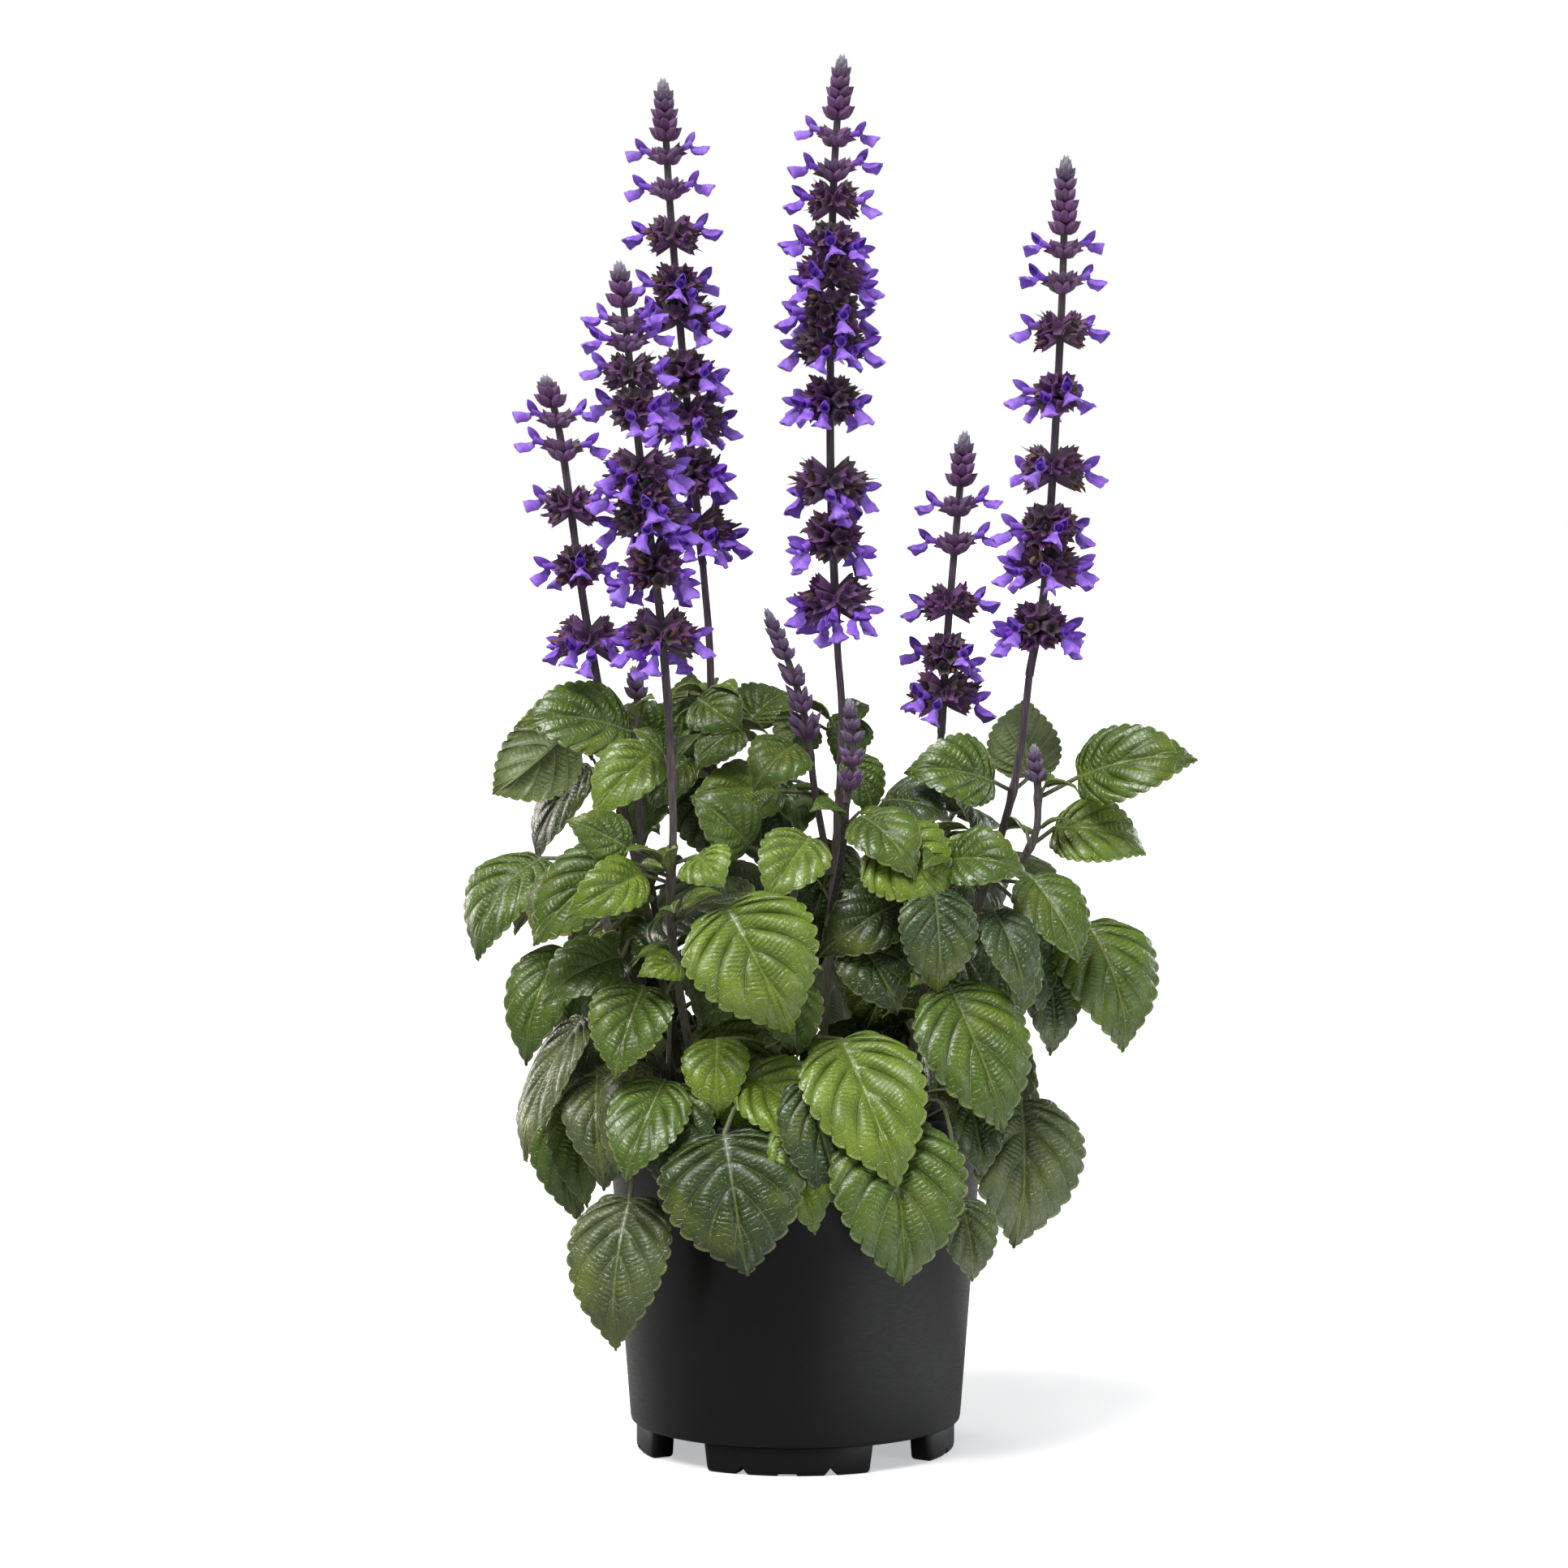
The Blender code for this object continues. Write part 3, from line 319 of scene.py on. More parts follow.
def leaf_finish():
    """Quilted green: a ladder of puffs between the side veins, pale veins, a duller back."""
    r = Recipe("leaf_blade")
    under = r.node("ShaderNodeAttribute", attribute_name="under").outputs["Fac"]
    pattern = blade_pattern(r)
    r.colour(blade_colour(r, pattern, under))
    r.bump(blade_relief(r, pattern), 0.85, 0.0008)
    gloss = r.step(r.grain(110.0), 0.3, 0.75, 0.28, 0.42)
    r.skin("Roughness", r.plus(gloss, r.times(under, 0.25)))
    r.skin("Coat Weight", 0.3)
    r.skin("Coat Roughness", 0.3)
    return r.material


leaf_blade = leaf_finish()
print("leaf finish:", leaf_blade.name)

# %% [markdown]
# ### Stem, flower and peat skins
#
# These start from the piece's own tone as well. Clouds of grain make it uneven, finer on
# hairs than on peat, and drawn out along the height on stems, which have upright lines. A
# little sheen stands for the bloom of short hairs on petals and calyces.


# %% Stem and flower finishes
def stem_finish():
    """Dusky skin with fine upright lines."""
    r = Recipe("stem_skin", 0.55)
    lines = r.grain(1500.0, 2.0, r.squeezed(0.06))
    base = r.tone()
    dull = r.blend(0.3, base, (0.015, 0.01, 0.015, 1))
    bright = r.blend(0.12, base, (0.4, 0.36, 0.34, 1))
    r.colour(r.blend(r.step(lines, 0.35, 0.65), dull, bright))
    r.bump(lines, 0.25, 0.0004)
    return r.material


def petal_finish():
    """Soft violet with darker streaks and a velvet edge."""
    r = Recipe("violet_petal", 0.6)
    base = r.tone()
    deep = r.blend(0.3, base, (0.05, 0.01, 0.3, 1))
    r.colour(r.blend(r.step(r.grain(700.0, 2.0), 0.35, 0.7), deep, base))
    r.bump(r.grain(1300.0, 2.0), 0.25, 0.0003)
    r.sheen(0.05, (0.62, 0.42, 1.0, 1))
    return r.material


def calyx_finish():
    """Dark plum with grey smoke in it, under a bloom of short hairs."""
    r = Recipe("plum_calyx", 0.62)
    base = r.tone()
    smoke = r.blend(0.25, base, (0.06, 0.05, 0.05, 1))
    r.colour(r.blend(r.step(r.grain(260.0), 0.4, 0.68), base, smoke))
    r.bump(r.grain(1600.0, 2.0), 0.4, 0.0004)
    r.sheen(0.08, (0.8, 0.6, 0.85, 1))
    return r.material


def tuft_finish():
    """Silvery hairs and papery dried petals, each in its own tone."""
    r = Recipe("tuft_and_husk", 0.75)
    base = r.tone()
    dirty = r.blend(0.35, base, (0.03, 0.02, 0.015, 1))
    r.colour(r.blend(r.step(r.grain(800.0), 0.35, 0.7), dirty, base))
    r.bump(r.grain(1500.0, 2.0), 0.3, 0.0004)
    return r.material


def soil_finish():
    """Damp peat with brown fibres, and nearly black patches of painted shade."""
    r = Recipe("damp_peat", 0.9)
    base = r.tone()
    # Painted shade: nearly black patches, placed by noise, stand for the shade in the peat's low
    # places.
    painted_hollow_shade = r.blend(0.6, base, (0.008, 0.006, 0.004, 1))
    r.colour(r.blend(r.step(r.grain(160.0, 6.0), 0.35, 0.7), painted_hollow_shade, base))
    r.bump(r.grain(420.0, 6.0), 0.8, 0.0015)
    return r.material


stem_skin = stem_finish()
violet_petal = petal_finish()
plum_calyx = calyx_finish()
tuft_and_husk = tuft_finish()
damp_peat = soil_finish()
print("other finishes:", [m.name for m in (stem_skin, violet_petal, plum_calyx, tuft_and_husk,
                                          damp_peat)])

# %% [markdown]
# ### Plastic and paper
#
# The pot is nearly black, so what shows of it is what it mirrors, and from this height
# that is the floor. The floor glows white to the camera, as paper in a studio does, but
# is grey to all else, or it would light the leaves from below. One bright pool on it, to
# the right of the pot, becomes the soft band of light on the pot's right side.

# %% Plastic finish
PLASTIC_BLACK = (0.0012, 0.0012, 0.0015, 1)
PLASTIC_DUSTY = (0.004, 0.004, 0.004, 1)


def plastic_finish():
    """Black moulded plastic with a satin skin, fine scuffs and a trace of dust."""
    r = Recipe("black_plastic")
    r.colour(r.blend(r.step(r.grain(26.0, 5.0), 0.45, 0.8), PLASTIC_BLACK, PLASTIC_DUSTY))
    r.skin("Specular IOR Level", 0.3)
    scuffs = r.grain(220.0, 4.0, r.squeezed(7.0))
    r.skin("Roughness", r.step(scuffs, 0.3, 0.75, 0.3, 0.44))
    r.bump(r.plus(scuffs, r.times(r.grain(1400.0, 2.0), 0.6)), 0.12, 0.0003)
    return r.material


black_plastic = plastic_finish()
print("pot finish:", black_plastic.name)

# %% Floor
FLOOR_SIZE = 40
PAPER_GREY = (0.34, 0.34, 0.34, 1)
PAPER_WHITES = [(0.9, 0.9, 0.9, 1), (0.93, 0.93, 0.93, 1)]
PAPER_GLOW = 0.47
GLOW_TINT = (0.96, 0.98, 1.0, 1)
POOL_PLACE = (0.25, -0.17, 0.0)
POOL_RADII = (0.05, 0.28)
POOL_GLOW = 1.5


def floor_finish():
    """Paper that is white to the camera and grey to all else, but for its bright pool."""
    r = Recipe("white_paper", 0.85)
    seen = r.node("ShaderNodeLightPath").outputs["Is Camera Ray"]
    away = r.node("ShaderNodeVectorMath", {0: r.place(), 1: POOL_PLACE}, operation="DISTANCE")
    pool = r.step(away.outputs["Value"], *POOL_RADII, POOL_GLOW, 0.0)
    r.colour(r.blend(seen, PAPER_GREY, r.blend(r.grain(3.0), *PAPER_WHITES)))
    r.skin("Emission Color", GLOW_TINT)
    unseen_glow = r.times(pool, r.sum("SUBTRACT", 1.0, seen))
    r.skin("Emission Strength", r.plus(unseen_glow, r.times(seen, PAPER_GLOW)))
    return r.material


bpy.ops.mesh.primitive_plane_add(size=FLOOR_SIZE, location=(0, 0, 0))
floor = bpy.context.object
floor.name = "floor"
floor.data.materials.append(floor_finish())
print("floor:", FLOOR_SIZE, "m wide")

# %% [markdown]
# ## Sizes and places
#
# These are the sizes the plain solids were built to, in millimetres, so that the finer
# pieces fit in their place: the pot, the soil's level, and how leaves lie and face. The
# lists after them say where each stem, spike and leaf shows in the picture: how far
# across, how far up, and how far behind or before the pot's axis.

# %% Driving sizes
# The pot and its soil.
POT_HEIGHT = 150.0
WALL = 1.6
FLOOR_LEVEL = 12.0
FLOOR_TOP = 14.0
RIM_INNER_LEVEL = 149.0
WALL_FOOT_RADIUS = 71.8
WALL_TOP_RADIUS = 82.0
RIM_RADIUS = 84.0
RIM_DEPTH = 9.0
SOIL_TOP = 132.0
HOLE_DEPTH = 30.0
GAP = 0.3

# Leaves and their stalks: how egg-shaped and thick a plain blade is, how a long stalk
# bows, how high one clears the rim, how far below its blade it is rooted, which way
# front leaves and back leaves face, and how much the back ones vary.
EGG = 0.45
PLAIN_THICKNESS = 0.9
STALK_BEND = 0.12
LONG_STALK = 26.0
RIM_CLEARANCE = 9.0
ROOT_DROP = 0.35
ROOT_BELOW_TOP = 3
ROOT_ABOVE_SOIL = 4
LOOK_OUT = 0.3
LOOK_UP = 0.55
LOOK_FRONT = 0.75
BACK_LOOK_OUT = 0.55
BACK_LOOK_UP = 0.85
BACK_PETIOLE = 24.0
BACK_WIDTH_SHARE = 0.74
BACK_LIFT = 7
BACK_TURN = 14
BACK_DROOP = 8
BACK_SIZES = (0.88, 1.1)
BACK_TONES = ["mid", "dark", "mid", "light", "bluish", "old", "mid"]
BACK_SEED = 31

# How a crowded leaf was bent clear of its neighbours: its size with its shift in depth,
# the angles, and which way they swing and lift it.
NUDGE_SIZES = [(1.0, 0), (1.0, -6), (1.0, 7), (0.85, 0), (0.85, -10), (0.85, 10), (0.7, 0),
               (0.7, -14), (0.7, 14)]
NUDGE_ANGLES = [7, 14, 21, 28, 36]
NUDGE_WAYS = [(1, 0), (-1, 0), (0, 1), (0, -1), (1, 1), (-1, -1), (1, -1), (-1, 1)]
print("pot:", POT_HEIGHT, "high,", 2 * RIM_RADIUS, "across its rim")

# %% Stems, shoots and spikes
# Leafy stems, from the soil up: (across, up, depth).
STEMS = {
    "a": [(-45, 132, 5), (-57, 200, 6), (-73, 272, 6), (-85, 330, 5)],
    "b": [(-35, 132, -35), (-47, 180, -48), (-54, 230, -57), (-53, 273, -60), (-55, 322, -60)],
    "c": [(-25, 132, 30), (-31, 210, 32), (-36, 298, 32), (-37, 346, 30), (-40, 384, 30)],
    "d": [(10, 132, 0), (14, 210, 3), (20, 305, 5), (18, 350, 5)],
    "e": [(30, 132, 25), (46, 210, 26), (60, 285, 25), (63, 311, 25)],
    "f": [(45, 132, 10), (66, 195, 9), (89, 267, 6), (97, 302, 5), (101, 336, 5)],
    "k": [(-5, 132, -38), (-4, 180, -44), (-2, 230, -44), (3, 266, -38)],
    "l": [(40, 132, -22), (52, 180, -34), (60, 228, -38), (63, 254, -36)],
    "m": [(-52, 132, -10), (-66, 180, -14), (-82, 230, -8), (-86, 262, 4), (-84, 298, 20)],
    "n": [(-46, 132, -42), (-56, 160, -48), (-62, 181, -47)],
    "p": [(-38, 132, 42), (-54, 200, 54), (-66, 262, 60)],
    "q": [(36, 132, 44), (54, 205, 56), (66, 272, 62)],
    "r": [(2, 132, 50), (4, 200, 62), (-4, 276, 68)],
}

# Side shoots that bear the young spikes: stem they grow from, then their way.
SHOOTS = {
    "g": ("d", [(15, 250, 3), (9, 282, -2), (6, 304, -5)]),
    "h": ("d", [(14, 228, 3), (20, 258, -16), (22, 281, -24)]),
    "i": ("a", [(-66, 240, 6), (-68, 290, 2), (-68, 322, 5)]),
    "j": ("f", [(84, 248, 6), (96, 254, -5), (104, 268, -9), (105, 286, -10)]),
}
HOST = {key: host for key, (host, _) in SHOOTS.items()}

# Flower spikes: their way up, where the bud cone starts, the whorls from the
# top down, and how many of the top whorls have no open flower yet.
SPIKES = {
    "a": ([(-85, 330, 5), (-92, 371, 5), (-101, 437, 5), (-108, 466, 5)], 454,
          [447, 434, 410, 384, 353], 0),
    "b": ([(-55, 322, -60), (-59, 367, -60), (-67, 430, -60), (-76, 515, -60)], 497,
          [488, 480, 467, 452, 426, 414, 404, 384, 355], 0),
    "c": ([(-40, 384, 30), (-42, 402, 30), (-53, 526, 30), (-57, 593, 30)], 568,
          [560, 546, 526, 505, 492, 467, 448, 425, 400], 0),
    "d": ([(18, 350, 5), (15, 430, 5), (16, 539, 5), (20, 603, 5)], 577,
          [568, 554, 541, 523, 509, 494, 480, 455, 420, 397, 370], 0),
    "e": ([(63, 311, 25), (66, 360, 25), (73, 442, 25)], 420,
          [410, 394, 368, 346, 329], 0),
    "f": ([(101, 336, 5), (108, 381, 5), (114, 486, 5), (116, 560, 5)], 528,
          [520, 506, 485, 458, 426, 401, 385, 358], 0),
}

# The young spikes on the side shoots.
BUD_SPIKES = {
    "g": ([(6, 304, -5), (4, 318, -5), (-2, 339, -5), (-13, 366, -5)], 345, [336, 325, 314], 3),
    "h": ([(22, 281, -24), (25, 305, -24), (23, 327, -24)], 309, [301, 291], 2),
    "i": ([(-68, 322, 5), (-70, 341, 5)], 328, [], 0),
    "j": ([(105, 286, -10), (103, 307, -10)], 292, [], 0),
}

print("stems:", len(STEMS), "spikes:", len(SPIKES), "young spikes:", len(BUD_SPIKES))

# %% Leaves
# Leaves seen from the front: stem, base, tip, width, roll about the midrib, colour.
# A roll near 180 shows the underside.
LEAVES = [
    ("i", (-72, 312, 0), (-118, 300, -18), 42, 0, "mid"),
    ("a", (-98, 312, 14), (-131, 284, 8), 38, 150, "mid"),
    ("b", (-60, 304, -38), (-88, 277, -52), 32, 0, "light"),
    ("m", (-88, 296, 26), (-115, 256, 24), 34, 20, "dark"),
    ("m", (-110, 257, 0), (-141, 215, -12), 46, 15, "mid"),
    ("b", (-76, 257, -54), (-115, 221, -66), 38, 0, "mid"),
    ("m", (-95, 250, -22), (-114, 222, -36), 26, 0, "old"),
    ("b", (-66, 250, -66), (-99, 232, -84), 26, -20, "fresh"),
    ("b", (-72, 261, -62), (-98, 274, -70), 24, 0, "mid"),
    ("b", (-43, 258, -66), (-32, 246, -84), 26, 0, "light"),
    ("k", (-20, 262, -46), (-44, 284, -56), 28, 0, "mid"),
    ("k", (6, 266, -48), (-12, 240, -70), 32, 0, "light"),
    ("b", (-30, 236, -74), (-2, 182, -92), 60, 0, "light"),
    ("g", (0, 306, -8), (-18, 288, -26), 30, 0, "mid"),
    ("d", (-6, 286, 8), (-44, 286, -4), 32, 0, "light"),
    ("c", (-20, 316, 40), (-2, 330, 52), 32, 0, "mid"),
    ("d", (4, 318, 22), (-6, 300, 26), 24, 150, "mid"),
    ("c", (-42, 326, 20), (-24, 313, 6), 28, 0, "mid"),
    ("c", (-24, 313, 10), (-44, 302, -4), 24, 0, "mid"),
    ("c", (-46, 300, 24), (-64, 278, 20), 28, 0, "mid"),
    ("c", (-50, 318, 40), (-44, 337, 46), 24, 180, "mid"),
    ("c", (-58, 308, 34), (-75, 324, 38), 24, 0, "mid"),
    ("h", (29, 275, -40), (52, 250, -62), 32, 0, "mid"),
    ("l", (36, 264, -44), (66, 242, -58), 46, 0, "fresh"),
    ("e", (38, 282, 0), (66, 276, -16), 32, 0, "bluish"),
    ("d", (26, 318, 24), (16, 300, 14), 22, 0, "mid"),
    ("d", (10, 316, 36), (14, 334, 46), 30, 0, "mid"),
    ("j", (122, 292, 2), (173, 302, -8), 40, 0, "mid"),
    ("j", (112, 270, 8), (152, 261, 0), 38, 0, "light"),
    ("f", (101, 292, 18), (98, 326, 24), 38, 180, "mid"),
    ("f", (86, 290, -6), (48, 296, -14), 36, 0, "mid"),
    ("l", (66, 256, -40), (96, 251, -60), 32, 0, "mid"),
    ("j", (102, 249, -26), (124, 214, -48), 34, 0, "mid"),
    ("l", (60, 243, -56), (62, 203, -80), 36, 0, "bluish"),
    ("l", (86, 234, -42), (100, 194, -58), 26, 0, "bluish"),
    ("l", (95, 230, -14), (108, 190, -26), 26, 0, "dark"),
    ("j", (107, 218, -16), (119, 173, -34), 30, 0, "bluish"),
    ("j", (126, 229, -4), (140, 172, -20), 50, 0, "mid"),
    ("l", (67, 201, -52), (92, 139, -72), 52, 0, "mid"),
    ("l", (98, 152, -34), (97, 87, -52), 54, 0, "old"),
    ("k", (40, 141, -84), (48, 70, -96), 60, 0, "mid"),
    ("k", (20, 178, -70), (45, 116, -108), 54, 0, "light"),
    ("k", (-31, 137, -84), (-21, 75, -102), 64, 0, "dark"),
    ("n", (-72, 109, -64), (-80, 42, -82), 46, 0, "old"),
    ("n", (-66, 201, -58), (-79, 163, -80), 38, 0, "mid"),
    ("m", (-76, 214, -40), (-102, 187, -58), 32, 0, "mid"),
    ("m", (-100, 218, -12), (-119, 168, -30), 34, 0, "mid"),
    ("m", (-92, 188, -36), (-122, 127, -52), 38, 35, "old"),
    ("m", (-82, 186, -14), (-101, 158, -30), 32, 0, "old"),
    ("n", (-86, 162, -44), (-84, 117, -66), 30, 0, "old"),
    ("m", (-95, 155, -22), (-92, 105, -40), 28, 0, "mid"),
    ("a", (-100, 160, -4), (-96, 98, -18), 36, 0, "mid"),
    ("n", (-69, 168, -56), (-78, 118, -70), 24, 0, "old"),
    ("n", (-57, 160, -66), (-72, 115, -90), 36, 0, "mid"),
    ("k", (-34, 178, -60), (-34, 144, -76), 30, 0, "fresh"),
    ("k", (-22, 162, -64), (10, 114, -82), 36, 0, "fresh"),
    ("k", (-3, 203, -50), (1, 171, -62), 28, 0, "mid"),
    ("k", (26, 222, -38), (45, 190, -50), 34, 0, "dark"),
    ("l", (46, 238, -36), (10, 215, -48), 32, 0, "dark"),
    ("l", (75, 155, -48), (82, 118, -62), 26, 0, "dark"),
    ("l", (72, 108, -76), (78, 72, -84), 26, 0, "old"),
    ("n", (-50, 210, -62), (-69, 210, -74), 18, 0, "fresh"),
    ("c", (-38, 292, 40), (-50, 256, 32), 40, 0, "dark"),
    ("m", (-74, 232, 8), (-56, 196, 2), 34, 0, "dark"),
    ("k", (-20, 216, -28), (-42, 182, -34), 34, 0, "mid"),
    ("d", (18, 264, 12), (6, 226, 8), 34, 0, "dark"),
    ("e", (62, 264, 30), (86, 228, 26), 42, 0, "dark"),
    ("e", (56, 232, 30), (86, 194, 26), 40, 0, "dark"),
    ("d", (24, 302, 16), (42, 268, 12), 34, 0, "mid"),
    ("e", (44, 218, 28), (28, 180, 22), 40, 0, "dark"),
]

# Small leaves that fill gaps between the others and have no plain blade to fit.
FILLING_LEAVES = [
    ("k", (4, 160, -84), (20, 104, -93), 36, 0, "bluish"),
    ("k", (-4, 142, -85), (9, 92, -90), 26, 0, "fresh"),
    ("n", (-74, 158, -44), (-85, 112, -52), 32, 0, "old"),
    ("n", (-54, 158, -66), (-49, 106, -82), 36, 0, "dark"),
    ("e", (56, 184, 20), (74, 146, 20), 35, 0, "dark"),
    ("m", (-66, 226, 20), (-63, 184, 14), 35, 0, "dark"),
    ("n", (-54, 192, 24), (-57, 152, 20), 35, 0, "dark"),
    ("m", (-86, 214, 10), (-99, 172, 4), 34, 0, "mid"),
    ("c", (-62, 302, 30), (-70, 264, 26), 32, 0, "mid"),
    ("c", (-46, 328, 36), (-51, 292, 32), 30, 0, "mid"),
    ("d", (-10, 292, 30), (-15, 252, 26), 35, 0, "dark"),
    ("e", (52, 208, 36), (46, 166, 32), 35, 0, "dark"),
    ("e", (84, 226, 18), (93, 188, 14), 30, 0, "dark"),
    ("d", (10, 248, 30), (8, 208, 26), 34, 0, "dark"),
]

# Leaves of the back half: stem, height of each opposite pair, turn of the
# pair about the stem (0 points away from the viewer), blade length, droop.
BACK_PAIRS = [
    ("p", 168, 50, 72, 62), ("p", 204, -25, 66, 40), ("p", 238, 60, 58, 28), ("p", 262, -10, 44, 8),
    ("q", 172, -50, 72, 62), ("q", 210, 25, 66, 40), ("q", 246, -60, 58, 28), ("q", 272, 10, 44, 8),
    ("r", 164, 70, 70, 60), ("r", 200, -15, 66, 44), ("r", 238, 75, 58, 28), ("r", 276, 0, 46, 8),
    ("a", 226, 20, 58, 34), ("f", 226, 10, 58, 36), ("c", 300, 5, 50, 20), ("a", 180, 45, 60, 58),
    ("f", 180, -45, 60, 58),
]
print("leaves listed:", len(LEAVES), "and pairs at the back:", len(BACK_PAIRS))

# %% [markdown]
# ## The ways of the stems
#
# Sliding each place along the sight line to its depth puts it where it truly is. A
# smooth curve through a few such places gives a stem its natural sweep.


# %% From places to curves
def seen_level(up, depth):
    """The true height of what shows at a height and stands at a depth."""
    reach = (EYE_DISTANCE + depth) / EYE_DISTANCE
    return EYE_HEIGHT + (up - EYE_HEIGHT) * reach


def spot(across, up, depth):
    """A place seen at (across, up), slid along the sight line to its depth."""
    reach = (EYE_DISTANCE + depth) / EYE_DISTANCE
    return Vector((EYE_ACROSS + (across - EYE_ACROSS) * reach, depth, seen_level(up, depth)))


def point_at_height(points, height):
    """The place on a way at a height."""
    for low, high in zip(points, points[1:]):
        if height <= high.z:
            share = (height - low.z) / (high.z - low.z)
            return low.lerp(high, max(0.0, share))
    return points[-1].copy()


def heading_of(angle, elevation):
    """A direction, from its turn about the upright and its climb, in radians."""
    level = math.cos(elevation)
    return Vector((math.cos(angle) * level, math.sin(angle) * level, math.sin(elevation)))


def smooth_route(points, steps):
    """A rounded way through the places, with some steps between each two."""
    ends = [points[0] * 2 - points[1]] + points + [points[-1] * 2 - points[-2]]
    curve = [points[0].copy()]
    for before, start, stop, after in zip(ends, ends[1:], ends[2:], ends[3:]):
        for step in range(1, steps + 1):
            t = step / steps
            curve.append(0.5 * (2 * start + (stop - before) * t
                                + (2 * before - 5 * start + 4 * stop - after) * t ** 2
                                + (3 * start - before - 3 * stop + after) * t ** 3))
    return curve


def stem_places(key):
    """The places of a leafy stem, the first of them level with the soil."""
    points = [spot(*place) for place in STEMS[key]]
    points[0].z = SOIL_TOP
    return points


ways = {key: smooth_route(stem_places(key), 2) for key in STEMS}
ways.update({key: smooth_route([spot(*place) for place in places], 2)
             for key, (_, places) in SHOOTS.items()})
print("ways:", len(ways))


# %% Colours and soft shapes
def paint(red, green, blue):
    """A colour as the eye reads it, 0 to 255, turned into amounts of light."""
    shares = [value / 255 for value in (red, green, blue)]
    return np.array([s / 12.92 if s <= 0.04045 else ((s + 0.055) / 1.055) ** 2.4
                     for s in shares] + [1.0])


def mix(low, high, share):
    """A colour between two, for one share or a list of them."""
    share = np.asarray(share, dtype=float)[..., None]
    return low + (high - low) * share


def bell(value, middle, spread):
    """One at the middle, and softly down to nothing on both sides."""
    return np.exp(-((value - middle) / spread) ** 2)


def ramp(value, start, length):
    """Nothing up to the start, then evenly up to one over a length."""
    return np.clip((value - start) / length, 0, 1)


print("black and white:", paint(0, 0, 0)[:3], paint(255, 255, 255)[:3])

# %% [markdown]
# ## Gathering copies
#
# A leaf, a calyx or a bud is worked out once and then set down many times. Joining
# thousands of objects would be slow, so all that grows on one stem or spike is gathered
# into one mesh instead: corners, faces, which finish each face has, and the marks that
# the finishes read.


# %% Small helpers for making shapes
def chosen(made):
    """Select one object and nothing else, so that operators act on it alone."""
    bpy.ops.object.select_all(action="DESELECT")
    made.select_set(True)
    bpy.context.view_layer.objects.active = made
    return made


def new_body(name, places, edges, faces):
    """A new object from its corners, chosen for the operators."""
    mesh = bpy.data.meshes.new(name)
    mesh.from_pydata(places, edges, faces)
    made = bpy.data.objects.new(name, mesh)
    bpy.context.scene.collection.objects.link(made)
    return chosen(made)


def face_outward():
    """Turn all faces of the chosen shape outward; used in edit mode."""
    bpy.ops.mesh.select_all(action="SELECT")
    bpy.ops.mesh.normals_make_consistent(inside=False)


def lifted_off(made):
    """A shape's corners and faces as lists; the object itself is thrown away."""
    places = np.array([vertex.co[:] for vertex in made.data.vertices])
    faces = [list(face.vertices) for face in made.data.polygons]
    bpy.data.objects.remove(made)
    return places, faces


def in_order(made):
    """The same shape with its faces in a fixed order; some operators shuffle them each run."""
    name = made.name
    places, faces = lifted_off(made)
    return new_body(name, places.tolist(), [], sorted(faces))


def triangles(made):
    """How many triangles a piece comes to."""
    return sum(len(face.vertices) - 2 for face in made.data.polygons)


print("helpers ready")


# %% Gather a piece
class Gather:
    """Corners and faces with their colours, collected for one piece."""

    def __init__(self):
        self.places = []
        self.faces = []
        self.finishes = []
        self.tones = []
        self.under = []
        self.maps = []
        self.count = 0

    def add(self, places, faces, finish, tone, under=None, spread=None):
        """Set down one more shape, with its finish and what it keeps at each corner."""
        places = np.asarray(places, dtype=float)
        size = len(places)
        start = self.count
        self.places.append(places)
        self.faces += [[corner + start for corner in face] for face in faces]
        self.finishes += [finish] * len(faces)
        self.tones.append(np.broadcast_to(tone, (size, 4)))
        self.under.append(np.zeros(size) if under is None else under)
        self.maps.append(np.zeros((size, 4)) + 0.5 if spread is None else spread)
        self.count += size

    def piece(self, name, finishes, node, slot, angle=50):
        """One finished object in place of a plain solid."""
        places = (np.concatenate(self.places) - SPREAD_CENTRE) * MM
        made = new_body(name, places.tolist(), [], self.faces)
        mesh = made.data
        for finish in finishes:
            mesh.materials.append(finish)
        mesh.polygons.foreach_set("material_index", self.finishes)
        tone = mesh.attributes.new("tone", "FLOAT_COLOR", "POINT")
        tone.data.foreach_set("color", np.concatenate(self.tones).ravel())
        under = mesh.attributes.new("under", "FLOAT", "POINT")
        under.data.foreach_set("value", np.concatenate(self.under))
        corners = np.empty(len(mesh.loops), dtype=np.int32)
        mesh.loops.foreach_get("vertex_index", corners)
        maps = np.concatenate(self.maps)[corners]
        for layer, columns in (("leaf_map", maps[:, :2]), ("leaf_place", maps[:, 2:])):
            mesh.uv_layers.new(name=layer).data.foreach_set("uv", columns.ravel())
        bpy.ops.object.shade_smooth_by_angle(angle=math.radians(angle))
        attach(made, "root")
        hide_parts(node)
        return made


print("gatherer ready")


# %% Rings and tubes
def ring_faces(rings, sides):
    """Faces between rings that run anticlockwise about their way, closed at both ends."""
    faces = []
    for row in range(rings - 1):
        for side in range(sides):
            a = row * sides + side
            b = row * sides + (side + 1) % sides
            faces.append([a, b, b + sides, a + sides])
    faces.append(list(range(sides))[::-1])
    faces.append([(rings - 1) * sides + side for side in range(sides)])
    return faces


